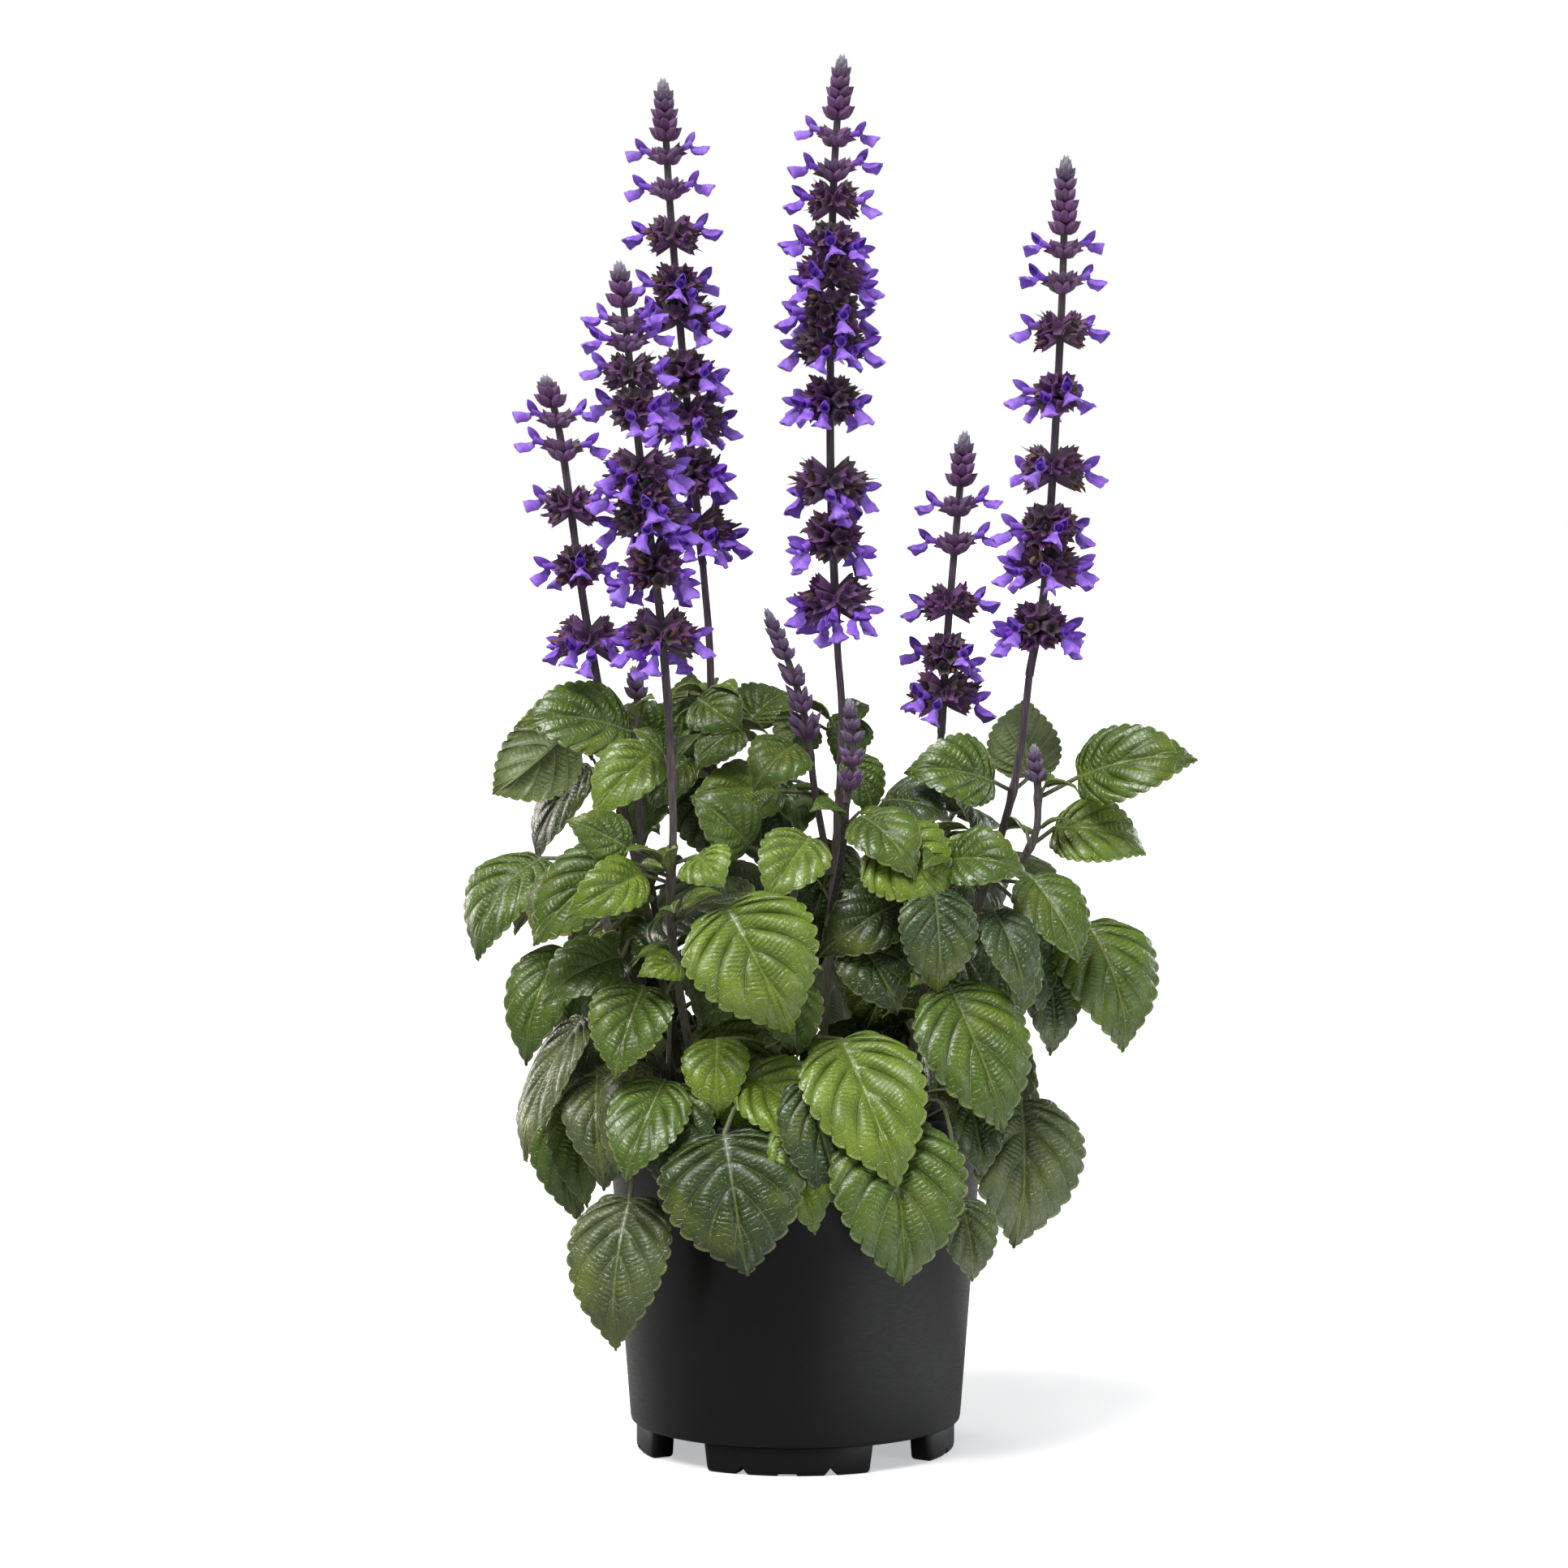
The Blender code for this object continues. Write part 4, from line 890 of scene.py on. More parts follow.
def tube(way, sizes, side, profile):
    """A tube along a way; profile gives its radius at even steps round it."""
    turns = np.linspace(0, math.tau, len(profile), endpoint=False)
    places = []
    for index, point in enumerate(way):
        heading = way[min(index + 1, len(way) - 1)] - way[max(index - 1, 0)]
        heading = heading.normalized()
        across = (side - heading * side.dot(heading)).normalized()
        lift = heading.cross(across)
        for turn, radius in zip(turns, profile):
            reach = (across * math.cos(turn) + lift * math.sin(turn)) * radius * sizes[index]
            places.append(point + reach)
    return places, ring_faces(len(way), len(profile))


print("faces of a square tube with two rings:", len(ring_faces(2, 4)))

# %% [markdown]
# ## Leaf blades
#
# A real blade is a thin sheet, drawn tight along its midrib and side veins and puffed
# up between them, with rounded teeth round its edge. It could be sculpted, but then no
# two leaves would share a pattern. Instead a flat grid is given thickness, and its rows
# are laid along the side veins: seven pairs of veins with eight rows to each gap, and
# four rows to each of the fourteen teeth. Small leaves use a coarser grid.


# %% Flat sheets
def flat_sheet(columns, rows):
    """A thin closed sheet: share across (-1 to 1), share along (0 to 1), back or front."""
    bpy.ops.mesh.primitive_grid_add(x_subdivisions=columns, y_subdivisions=rows, size=2)
    made = bpy.context.object
    thick = made.modifiers.new("two_faces", "SOLIDIFY")
    thick.thickness = 0.1
    thick.offset = -1
    bpy.ops.object.modifier_apply(modifier="two_faces")
    places, faces = lifted_off(made)
    return {"across": places[:, 0], "along": (places[:, 1] + 1) / 2,
            "back": places[:, 2] < -0.05, "faces": faces}


# Sheets from small to large: up to which leaf width each is used, the sheet, the number
# of teeth on each side.
LEAF_SHEETS = [(16, flat_sheet(10, 20), 5), (36, flat_sheet(18, 40), 10),
               (math.inf, flat_sheet(24, 56), 14)]
print("sheet faces:", [len(sheet["faces"]) for _, sheet, _ in LEAF_SHEETS])

# %% [markdown]
# ## Where each leaf is
#
# When the plain solids were made, each leaf was planned from the lists and then bent a
# little until it was clear of its neighbours. The fine leaf has to lie where the plain
# one does. So all the bends that may have been used are tried again here, and the one
# that puts the leaf's tip on a corner of the plain solid is kept.


# %% Plan the leaves
def leaf_axes(leaf):
    """The leaf's length direction, its sideways direction and its face."""
    along = (leaf["tip"] - leaf["base"]).normalized()
    middle = (leaf["base"] + leaf["tip"]) / 2
    outward = Vector((middle.x, middle.y, 0)).normalized()
    if leaf["front"]:
        look = outward * LOOK_OUT + Vector((0, -LOOK_FRONT, LOOK_UP))
    else:
        look = outward * BACK_LOOK_OUT + Vector((0, 0, BACK_LOOK_UP))
    face = (look - along * look.dot(along)).normalized()
    face = Matrix.Rotation(math.radians(leaf["roll"]), 3, along) @ face
    return along, along.cross(face), face


def leaf_record(stem, base, tip, width, roll, tone, root, index):
    """All that places and shapes one leaf; its index varies its arch, fold and ruffle."""
    return {
        "stem": stem, "base": base, "tip": tip, "width": width, "roll": roll, "root": root,
        "tone": tone,
        "front": index < len(LEAVES),
        "arch": 0.10 + 0.05 * math.sin(2.1 * index),
        "fold": 9.0 + 6.0 * math.sin(1.3 * index),
        "ruffle": 0.022 * width * (1 + 0.5 * math.cos(1.7 * index)),
        "phase": 2.4 * index,
    }


def front_leaf(index, stem, base, tip, width, roll, tone):
    """A leaf as it shows from the front, rooted a little lower on the nearest stem."""
    base = spot(*base)
    way = ways[stem]
    near = min(way, key=lambda p: (p - base).length)
    reach = Vector((near.x - base.x, near.y - base.y, 0)).length
    root = point_at_height(way, min(base.z - ROOT_DROP * reach, way[-1].z - ROOT_BELOW_TOP))
    root = point_at_height(way, max(root.z, SOIL_TOP + ROOT_ABOVE_SOIL))
    return leaf_record(stem, base, spot(*tip), width, roll, tone, root, index)


def planned_leaves():
    """Every leaf with a plain blade, before any is bent clear of its neighbours."""
    leaves = [front_leaf(index, *row) for index, row in enumerate(LEAVES)]
    draw = random.Random(BACK_SEED)
    for stem, height, turn, length, droop in BACK_PAIRS:
        for side in (0, 180):
            root = point_at_height(ways[stem], height)
            angle = math.radians(90 + turn + side + draw.uniform(-BACK_TURN, BACK_TURN))
            heading = heading_of(angle, 0)
            base = root + heading * BACK_PETIOLE + Vector((0, 0, BACK_LIFT))
            fall = math.radians(droop + draw.uniform(-BACK_DROOP, BACK_DROOP))
            size = length * draw.uniform(*BACK_SIZES)
            tip = base + (heading * math.cos(fall) - Vector((0, 0, math.sin(fall)))) * size
            tone = BACK_TONES[len(leaves) % len(BACK_TONES)]
            leaves.append(leaf_record(stem, base, tip, size * BACK_WIDTH_SHARE, 0, tone, root,
                                      len(leaves)))
    return leaves


print("leaves planned:", len(planned_leaves()))


# %% Find them in the solids
SAME_PLACE = 0.4
BETTER = 1e-4


def moved_leaf(leaf, swing, lift, size, shift):
    """A copy of a leaf turned about its base and shifted in depth."""
    base = leaf["base"] + Vector((0, shift, 0))
    reach = leaf["tip"] - leaf["base"]
    side = Vector((-reach.y, reach.x, 0))
    side = side.normalized() if side.length > 1 else Vector((1, 0, 0))
    reach = Matrix.Rotation(math.radians(lift), 3, side) @ reach
    reach = Matrix.Rotation(math.radians(swing), 3, "Z") @ reach
    copy = dict(leaf)
    copy["base"] = base
    copy["tip"] = base + reach * size
    copy["width"] = leaf["width"] * size
    return copy


def nudges():
    """The bends that a crowded leaf may have got, in the order they were tried."""
    tries = [(0, 0, 1.0, 0)]
    for size, shift in NUDGE_SIZES:
        for angle in NUDGE_ANGLES:
            for swing, lift in NUDGE_WAYS:
                tries.append((swing * angle, lift * angle, size, shift))
    return tries


def corners_of(node):
    """A search tree over a plain solid's corners, in millimetres about the pot's axis."""
    corners = [Vector(np.array(vertex.co) / MM + SPREAD_CENTRE)
               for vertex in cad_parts[node].data.vertices]
    tree = KDTree(len(corners))
    for index, corner in enumerate(corners):
        tree.insert(corner, index)
    tree.balance()
    return tree


def found_leaves():
    """The leaves as the plain solids hold them: each planned leaf with its own bend."""
    trees = {key: corners_of("leafy_stem_" + key) for key in STEMS}
    tries = nudges()
    found = []
    for leaf in planned_leaves():
        tree = trees[HOST.get(leaf["stem"], leaf["stem"])]
        best = None
        for turn in tries:
            trial = moved_leaf(leaf, *turn)
            half = leaf_axes(trial)[2] * PLAIN_THICKNESS / 2
            miss = sum(tree.find(trial["tip"] + way)[2] for way in (half, -half))
            if best is None or miss < best[0] - BETTER:
                best = (miss, trial)
        if best[0] < SAME_PLACE:
            found.append(best[1])
        else:
            print("no such leaf in the solids:", leaf["stem"], round(best[0], 2))
    return found


leaves = found_leaves()
print("leaves found:", len(leaves))
leaves += [front_leaf(index, *row) for index, row in enumerate(FILLING_LEAVES)]
print("with the filling leaves:", len(leaves))

# %% [markdown]
# ## The fine leaves
#
# Each leaf is the flat sheet laid over its plain blade: the same length, width, arch,
# fold and ruffle. Puffs between the veins, a groove along the midrib, small teeth and a
# drawn-out tip are added to that. The stalk is a grooved tube that runs on under the
# blade as a midrib and thins out towards the tip.

# %% Leaf colours
# Each colour is a pair: the first is painted shade at the veins, midrib and edge, the second
# painted light on the tops of the puffs.
LEAF_TONES = {
    "mid": (paint(56, 80, 12), paint(94, 122, 30)),
    "light": (paint(88, 114, 24), paint(130, 156, 50)),
    "dark": (paint(30, 46, 10), paint(56, 76, 20)),
    "bluish": (paint(38, 58, 28), paint(64, 86, 42)),
    "fresh": (paint(92, 120, 18), paint(126, 152, 34)),
    "old": (paint(72, 84, 48), paint(94, 106, 62)),
}
STALK_GREEN = paint(96, 108, 58)
STALK_PURPLE = paint(80, 72, 60)
MIDRIB_PALE = paint(142, 160, 92)
print("leaf colours:", len(LEAF_TONES))

# %% The outline of a blade
TIP_START = 0.7
TIP_LENGTH = 0.3
LEAST_HALF_WIDTH = 0.3
TOOTH_DEPTH = 0.036
BASE_LOBE = 0.045


def blade_edge(wide, r):
    """How far on and how far out the blade's edge lies at each share along."""
    turn = math.pi * (0.035 + 0.95 * r)
    on = 0.5 * (1 - np.cos(turn))
    out = wide / 2 * np.sin(turn) * (1 + EGG * np.cos(turn)) / 1.10
    out = out * (1 + 0.04 * bell(on, 0.68, 0.18))
    return on, np.maximum(out * (1 - ramp(on, TIP_START, TIP_LENGTH) ** 2) ** 0.45,
                          LEAST_HALF_WIDTH)


def blade_flat(leaf, sheet, teeth):
    """Where each corner lies on the flat leaf: its share along and its way across."""
    wide = leaf["width"]
    r = sheet["along"]
    out = np.abs(sheet["across"])
    edge_u, edge_v = blade_edge(wide, r)
    lobe = np.sin(math.pi * (teeth * r % 1.0) ** 0.85) ** 0.6
    bite = TOOTH_DEPTH * wide * (0.45 + 0.55 * np.sin(math.pi * r)) * (1 - lobe)
    v = edge_v * out - np.minimum(bite, edge_v * 0.6) * out ** 8
    rib_u = 0.05 * r + 0.95 * r ** 2.8
    u = rib_u + (edge_u - rib_u) * out ** 1.6 + 0.010 * lobe * out ** 8 * np.sin(math.pi * r)
    u = u - BASE_LOBE * leaf["heart"] * bell(r, 0.09, 0.06) * out ** 1.5
    return u, v * np.sign(sheet["across"])


half_widths = blade_edge(40.0, np.linspace(0, 1, 57))[1]
print("a 40 mm blade is", round(2 * float(half_widths.max()), 1), "mm wide")

# %% The relief of a blade
BLADE_HALF = 0.26
VEIN_RIDGE = 0.35
MIDRIB_GROOVE = 0.25
TIP_FALL = 0.9
TIP_FALL_START = 0.72
EDGE_FALL = 0.045


def leaf_height(leaf, length, u, v):
    """The plain blade's rise above its chord: arch, fold and ruffle."""
    share = np.abs(v) / (leaf["width"] / 2)
    rise = leaf["arch"] * length * 4 * u * (1 - u)
    rise = rise + math.tan(math.radians(leaf["fold"])) * np.abs(v)
    phase = leaf["phase"] + np.where(v > 0, 1.3, 0.0)
    return rise + leaf["ruffle"] * share ** 2 * np.sin(7.5 * u + phase)


def blade_rise(leaf, sheet, length, u, v):
    """The fine blade's rise above its chord, and how far up its puff each corner is."""
    wide = leaf["width"]
    r = sheet["along"]
    out = np.abs(sheet["across"])
    gap_share = VEIN_PAIRS * r % 1.0
    puff = (4 * gap_share * (1 - gap_share)) ** 0.7
    fade = (1 - bell(out, 0, 0.13)) * (1 - out ** 6)
    fade = fade * np.sin(math.pi * np.clip(r, 0.02, 0.98)) ** 0.8
    swell = 0.75 + 0.25 * np.sin(9.0 * out + 2.3 * np.floor(VEIN_PAIRS * r) + leaf["phase"])
    quilt = leaf["quilt"] * wide * puff * swell * (0.45 + 0.55 * np.minimum(1, out / 0.35))
    rise = leaf_height(leaf, length, u, v) + quilt * fade
    rise = rise - TIP_FALL * length * np.clip(u - TIP_FALL_START, 0, 1) ** 2
    rise = rise - EDGE_FALL * wide * ramp(out, 0.55, 0.45) ** 2
    rise = rise - MIDRIB_GROOVE * bell(v, 0, 1.3)
    to_vein = np.minimum(gap_share, 1 - gap_share)
    ridge = VEIN_RIDGE * bell(to_vein, 0, 0.10) * (1 - out) ** 0.5
    rise = np.where(sheet["back"], rise - (BLADE_HALF + ridge), rise + BLADE_HALF)
    return rise, np.clip(0.25 + 0.75 * puff * fade, 0, 1)


def add_blade(gather, leaf):
    """The fine blade of one leaf."""
    sheet, teeth = next((sheet, teeth) for widest, sheet, teeth in LEAF_SHEETS
                        if leaf["width"] < widest)
    along, side, face = (np.array(axis) for axis in leaf_axes(leaf))
    length = (leaf["tip"] - leaf["base"]).length
    u, v = blade_flat(leaf, sheet, teeth)
    rise, shade = blade_rise(leaf, sheet, length, u, v)
    places = (np.array(leaf["base"]) + np.outer(u, along) * length
              + np.outer(v, side) + np.outer(rise, face))
    spread = np.column_stack([0.5 + 0.5 * sheet["across"], sheet["along"],
                              np.abs(v) / 10, u * length / 10])
    # The tone goes from the pair's darker colour to its lighter one as the corner rises up its
    # puff: painted shade and painted light.
    gather.add(places, sheet["faces"], BLADE, mix(*LEAF_TONES[leaf["tone"]], shade),
               sheet["back"].astype(float), spread)


LEAF_FINISHES = [leaf_blade, stem_skin]
BLADE, STALK = range(2)
print("finishes of a leafy stem:", [finish.name for finish in LEAF_FINISHES])

# %% Stalks and midribs
STALK_RADIUS = 1.05
RIB_STOPS = [0.05, 0.13, 0.24, 0.36, 0.48, 0.6, 0.72, 0.84]
RIB_TIP_RADIUS = 0.12
STALK_PROFILE = [1.0, 0.85, 0.5, 0.85, 1.0, 1.0, 1.0, 1.0]


def leaf_stalk_way(leaf):
    """The stalk's way from the stem to the blade, over the rim where it must."""
    base = leaf["base"]
    root = leaf["root"]
    way = base - root
    over_rim = (Vector((base.x, base.y)).length > RIM_RADIUS - 3
                and base.z < POT_HEIGHT + RIM_CLEARANCE)
    if over_rim:
        bend = root + way * 0.7
        bend.z = POT_HEIGHT + RIM_CLEARANCE
        return smooth_route([root, bend, base], 5)
    if way.length > LONG_STALK:
        bend = root + way * 0.5 + Vector((0, 0, STALK_BEND * way.length))
        return smooth_route([root, bend, base], 5)
    return [root.lerp(base, step / 4) for step in range(5)]


def add_stalk(gather, leaf):
    """A grooved stalk that runs on under the blade as its midrib."""
    along, side, face = leaf_axes(leaf)
    length = (leaf["tip"] - leaf["base"]).length
    way = leaf_stalk_way(leaf)
    slim = min(1.0, leaf["width"] / 40)
    sizes = [STALK_RADIUS * (0.75 + 0.25 * slim)] * len(way)
    for stop in RIB_STOPS:
        rise = float(leaf_height(leaf, length, np.array(stop), np.array(0.0)))
        rise -= TIP_FALL * length * max(0.0, stop - TIP_FALL_START) ** 2
        size = STALK_RADIUS * (0.35 + 0.6 * slim) * (1 - stop) + RIB_TIP_RADIUS
        way.append(leaf["base"] + along * (length * stop) + face * (rise - 0.62 - 0.55 * size))
        sizes.append(size)
    places, faces = tube(way, sizes, side, STALK_PROFILE)
    shares = np.repeat(np.linspace(0, 1, len(way)), len(STALK_PROFILE))
    tones = mix(STALK_PURPLE, STALK_GREEN, np.clip(shares * 3.0 - 0.1, 0, 1))
    tones = tones + (MIDRIB_PALE - tones) * np.clip(shares * 2 - 1, 0, 1)[:, None]
    gather.add(places, faces, STALK, tones)


def dress_leaf(leaf):
    """How strongly a leaf is quilted, and how deep the two lobes at its base are."""
    leaf["quilt"] = 0.046 if leaf["tone"] in ("light", "fresh") else 0.036
    leaf["heart"] = min(1.0, leaf["width"] / 45)
    return leaf


leaves = [dress_leaf(leaf) for leaf in leaves]
print("widest leaf:", max(leaf["width"] for leaf in leaves), "mm")

# %% [markdown]
# ## Leafy stems
#
# Salvia stems are square with a groove down each face and swell a little at each pair of
# leaves. A square tube is swept along each stem's curve; its sixteen corners round the
# section stand further out at the four ridges. The stems are olive low down and turn
# dusky purple higher up, where the flowers are. In the corners above older leaves' stalks
# small fresh leaves sprout.

# %% Square stems
STEM_HALF = 1.9
STEM_TAPER = 0.18
SHOOT_HALF = 1.5
STEM_PROFILE = [0.86, 1.1, 1.28, 1.1] * 4
STEM_RIDGES = [0.0, 0.0, 0.5, 0.0] * 4
STEM_OLIVE = paint(88, 86, 56)
STEM_DUSK = paint(78, 62, 76)
DUSK_START = 170
DUSK_LENGTH = 160
NODE_SWELL = 0.5
NODE_REACH = 3.0


def stem_tube(gather, way, halves, roots, finish):
    """A square stem, swollen where leaves are rooted."""
    sizes = []
    for point, half in zip(way, halves):
        swell = max([math.exp(-((point.z - z) / NODE_REACH) ** 2) for z in roots] + [0.0])
        sizes.append(half + NODE_SWELL * swell)
    places, faces = tube(way, sizes, Vector((1, 0, 0)), STEM_PROFILE)
    heights = np.array([place.z for place in places])
    tones = mix(STEM_OLIVE, STEM_DUSK, ramp(heights, DUSK_START, DUSK_LENGTH))
    tones = tones * (0.85 + 0.4 * np.tile(STEM_RIDGES, len(way))[:, None])
    tones[:, 3] = 1.0
    gather.add(places, faces, finish, tones)


print("corners round a stem:", len(STEM_PROFILE))

# %% Stems with their leaves
YOUNG_CHANCE = 0.62
YOUNG_WIDTH_SHARE = 0.62
YOUNG_SIZES = (12, 21)
YOUNG_SEED = 900
LEAST_HOST_WIDTH = 24
# Any index past the front leaves, so that young leaves face up and out.
YOUNG_INDEX = len(LEAVES) + 3


def young_leaves(mine, key):
    """Small fresh leaves that sprout in the corner above an older leaf's stalk."""
    draw = random.Random(ord(key) + YOUNG_SEED)
    young = []
    for leaf in mine:
        if (leaf["width"] < LEAST_HOST_WIDTH or leaf["root"].z < SOIL_TOP + 18
                or draw.random() > YOUNG_CHANCE):
            continue
        way = leaf["base"] - leaf["root"]
        first = math.atan2(way.y, way.x)
        for turn in (-1.1, 0.9):
            heading = heading_of(first + turn + draw.uniform(-0.3, 0.3), draw.uniform(0.5, 1.0))
            base = leaf["root"] + heading * draw.uniform(4, 8) + Vector((0, 0, 3))
            size = draw.uniform(*YOUNG_SIZES)
            fall = Vector((0, 0, draw.uniform(0.3, 0.8)))
            tip = base + (heading - fall).normalized() * size
            tone = draw.choice(["fresh", "light", "mid"])
            young.append(dress_leaf(leaf_record(
                leaf["stem"], base, tip, size * YOUNG_WIDTH_SHARE, 0, tone, leaf["root"],
                YOUNG_INDEX)))
    return young


def leafy_stem(key):
    """One stem with its side shoots and all of its leaves, as one piece."""
    gather = Gather()
    mine = [leaf for leaf in leaves if HOST.get(leaf["stem"], leaf["stem"]) == key]
    places = stem_places(key)
    way = [Vector((places[0].x, places[0].y, SOIL_TOP - HOLE_DEPTH + GAP))]
    way += smooth_route(places, 12)
    halves = [STEM_HALF * (1 - STEM_TAPER * step / (len(way) - 1)) for step in range(len(way))]
    roots = [leaf["root"].z for leaf in mine if leaf["stem"] == key]
    stem_tube(gather, way, halves, roots, STALK)
    for shoot, (host, shoot_places) in SHOOTS.items():
        if host == key:
            way = smooth_route([spot(*place) for place in shoot_places], 10)
            roots = [leaf["root"].z for leaf in mine if leaf["stem"] == shoot]
            stem_tube(gather, way, [SHOOT_HALF] * len(way), roots, STALK)
    for leaf in mine + young_leaves(mine, key):
        add_blade(gather, leaf)
        add_stalk(gather, leaf)
    return gather.piece("fine_leafy_stem_" + key, LEAF_FINISHES, "leafy_stem_" + key,
                        "leaf_green")


for key in STEMS:
    made = leafy_stem(key)
    print(made.name, "triangles", triangles(made))

# %% [markdown]
# ## Patterns for the flowers
#
# A calyx is a ribbed cup with pointed teeth, a bud is a closed calyx, and a corolla is a
# short tube that splits into a narrow upright hood and a broad, drooping lip. Cup, bud
# and tube are raised ring by ring from a star-shaped outline, as a potter would raise
# them. Hood and lip are small sheets, cupped and spread by where each corner lies. All
# are worked out at a length of one and scaled when they are set down.


# %% Raise a cup ring by ring
def raised(sides, rib, rings):
    """A closed body raised from a star: rings of (height, radius), ridges at every other side."""
    bpy.ops.mesh.primitive_circle_add(vertices=sides, radius=1, fill_type="NGON")
    made = bpy.context.object
    for vertex in made.data.vertices:
        if vertex.index % 2:
            vertex.co *= 1 - rib
        vertex.co *= rings[0][1]
        vertex.co.z = rings[0][0]
    bpy.ops.object.mode_set(mode="EDIT")
    bpy.ops.mesh.select_all(action="SELECT")
    bpy.ops.mesh.flip_normals()
    for (low, near), (high, far) in zip(rings, rings[1:]):
        bpy.ops.mesh.extrude_region_move(TRANSFORM_OT_translate={"value": (0, 0, high - low)})
        bpy.ops.transform.resize(value=(far / near, far / near, 1), center_override=(0, 0, high))
    face_outward()
    bpy.ops.object.mode_set(mode="OBJECT")
    places, faces = lifted_off(in_order(made))
    return {"places": places, "faces": faces, "level": places[:, 2],
            "ridge": np.arange(len(places)) % sides % 2 == 0}


BUD_RINGS = [(0.0, 0.12), (0.2, 0.30), (0.45, 0.36), (0.7, 0.25), (0.88, 0.11), (1.0, 0.015)]
TUBE_RINGS = [(0.0, 0.07), (0.3, 0.085), (0.55, 0.13), (0.66, 0.16), (0.655, 0.12), (0.5, 0.08)]
bud = raised(8, 0.14, BUD_RINGS)
flower_tube = raised(8, 0.0, TUBE_RINGS)
print("bud and tube faces:", len(bud["faces"]), len(flower_tube["faces"]))

# %% A cup with teeth
CUP_SIDES = 10
CUP_RIM = 0.80
CUP_RINGS = [(0.0, 0.12), (0.16, 0.22), (0.45, 0.28), (CUP_RIM, 0.33), (CUP_RIM, 0.24),
             (0.62, 0.10)]
OUTER_RINGS = 4
TOOTH_TIP = 0.98
TOOTH_FLARE = 1.10
LEAST_RIM_RADIUS = 0.29


def toothed_cup():
    """The open calyx: the ridges of its outer rim are drawn up into teeth."""
    made = raised(CUP_SIDES, 0.2, CUP_RINGS)
    places = made["places"]
    radius = np.hypot(places[:, 0], places[:, 1])
    rim = (np.abs(places[:, 2] - CUP_RIM) < 0.011) & made["ridge"] & (radius > LEAST_RIM_RADIUS)
    places[rim, 2] = TOOTH_TIP
    places[rim, :2] *= TOOTH_FLARE
    made["inside"] = np.arange(len(places)) >= CUP_SIDES * OUTER_RINGS
    return made


cup = toothed_cup()
print("cup faces:", len(cup["faces"]))


# %% Hood and lip
def petal(sheet, forward, half, lift, thick):
    """A small curved sheet as thick as told, from where its corners lie."""
    lift = np.where(sheet["back"], lift - thick, lift + thick)
    places = np.stack([forward, half * sheet["across"], lift], axis=1)
    return {"places": places, "faces": sheet["faces"], "ends": sheet["along"],
            "out": np.abs(sheet["across"])}


def lip_pattern():
    """Broad lower lip: a narrow neck, then a wide end lobe whose sides hang down."""
    sheet = flat_sheet(6, 6)
    r = sheet["along"]
    c = sheet["across"]
    half = 0.09 + 0.07 * bell(r, 0.22, 0.12) + 0.22 * bell(r, 0.72, 0.26)
    half = half * np.sqrt(np.clip(1 - ramp(r, 0.62, 0.38) ** 2, 0.03, 1))
    forward = 0.58 + 0.66 * r - 0.10 * c ** 2 * r
    forward = forward - 0.05 * bell(c, 0, 0.3) * np.clip(r - 0.8, 0, 1) * 5
    hang = np.sin(math.pi * np.clip(0.12 + 0.87 * r, 0, 1)) ** 0.7
    lift = 0.02 - 0.18 * r ** 1.4 - 0.26 * np.abs(c) ** 1.6 * hang
    return petal(sheet, forward, half, lift + 0.02 * np.sin(9 * c + 11 * r), 0.014)


def hood_pattern():
    """Upper lip: a hooded strip, folded down at both sides, that rises over the mouth."""
    sheet = flat_sheet(6, 5)
    r = sheet["along"]
    half = 0.09 + 0.05 * np.sin(math.pi * np.clip(0.15 + r * 0.8, 0, 1))
    half = half * np.sqrt(np.clip(1 - ramp(r, 0.6, 0.4) ** 2, 0.08, 1))
    fold = 0.19 * np.abs(sheet["across"]) ** 1.6 * np.clip(1.15 - r ** 4, 0.1, 1)
    forward = 0.45 + 0.34 * r + 0.09 * r ** 3 + 0.5 * fold
    return petal(sheet, forward, half, 0.20 + 0.36 * r ** 0.9 - 0.10 * r ** 3 - fold, 0.016)


lip = lip_pattern()
hood = hood_pattern()
print("lip and hood faces:", len(lip["faces"]), len(hood["faces"]))

# %% Flower colours
CALYX_PLUM = paint(88, 44, 90)
CALYX_LILAC = paint(132, 80, 142)
CALYX_GREEN = paint(90, 86, 68)
CALYX_GREY = paint(96, 82, 106)
BUD_SILVER = paint(158, 150, 172)
VIOLET = paint(138, 74, 226)
VIOLET_PALE = paint(188, 140, 255)
VIOLET_DEEP = paint(92, 44, 154)
MOUTH_SPOT = paint(206, 184, 252)
HUSK_BROWN = paint(140, 98, 56)
STYLE_DARK = paint(58, 34, 60)
HAIR_WHITE = paint(196, 192, 204)
SPIKE_FINISHES = [plum_calyx, violet_petal, tuft_and_husk, stem_skin]
CALYX, PETAL, TUFT, RACHIS = range(4)
print("finishes of a spike:", [finish.name for finish in SPIKE_FINISHES])


# %% Set down a cup, a bud, a hair
def square_to(heading, steepest):
    """A direction square to a heading, level unless the heading is too steep for that."""
    guide = Vector((0, 0, 1)) if abs(heading.z) < steepest else Vector((1, 0, 0))
    return guide.cross(heading).normalized()


def stood(places, base, tip, width, spin):
    """A pattern that stands along Z, laid from a base to a tip."""
    heading = tip - base
    length = heading.length
    heading = heading.normalized()
    turned = Matrix.Rotation(spin, 3, heading) @ square_to(heading, 0.95)
    lift = heading.cross(turned)
    scaled = places * np.array([width, width, length])
    return (np.array(base) + np.outer(scaled[:, 0], turned) + np.outer(scaled[:, 1], lift)
            + np.outer(scaled[:, 2], heading))


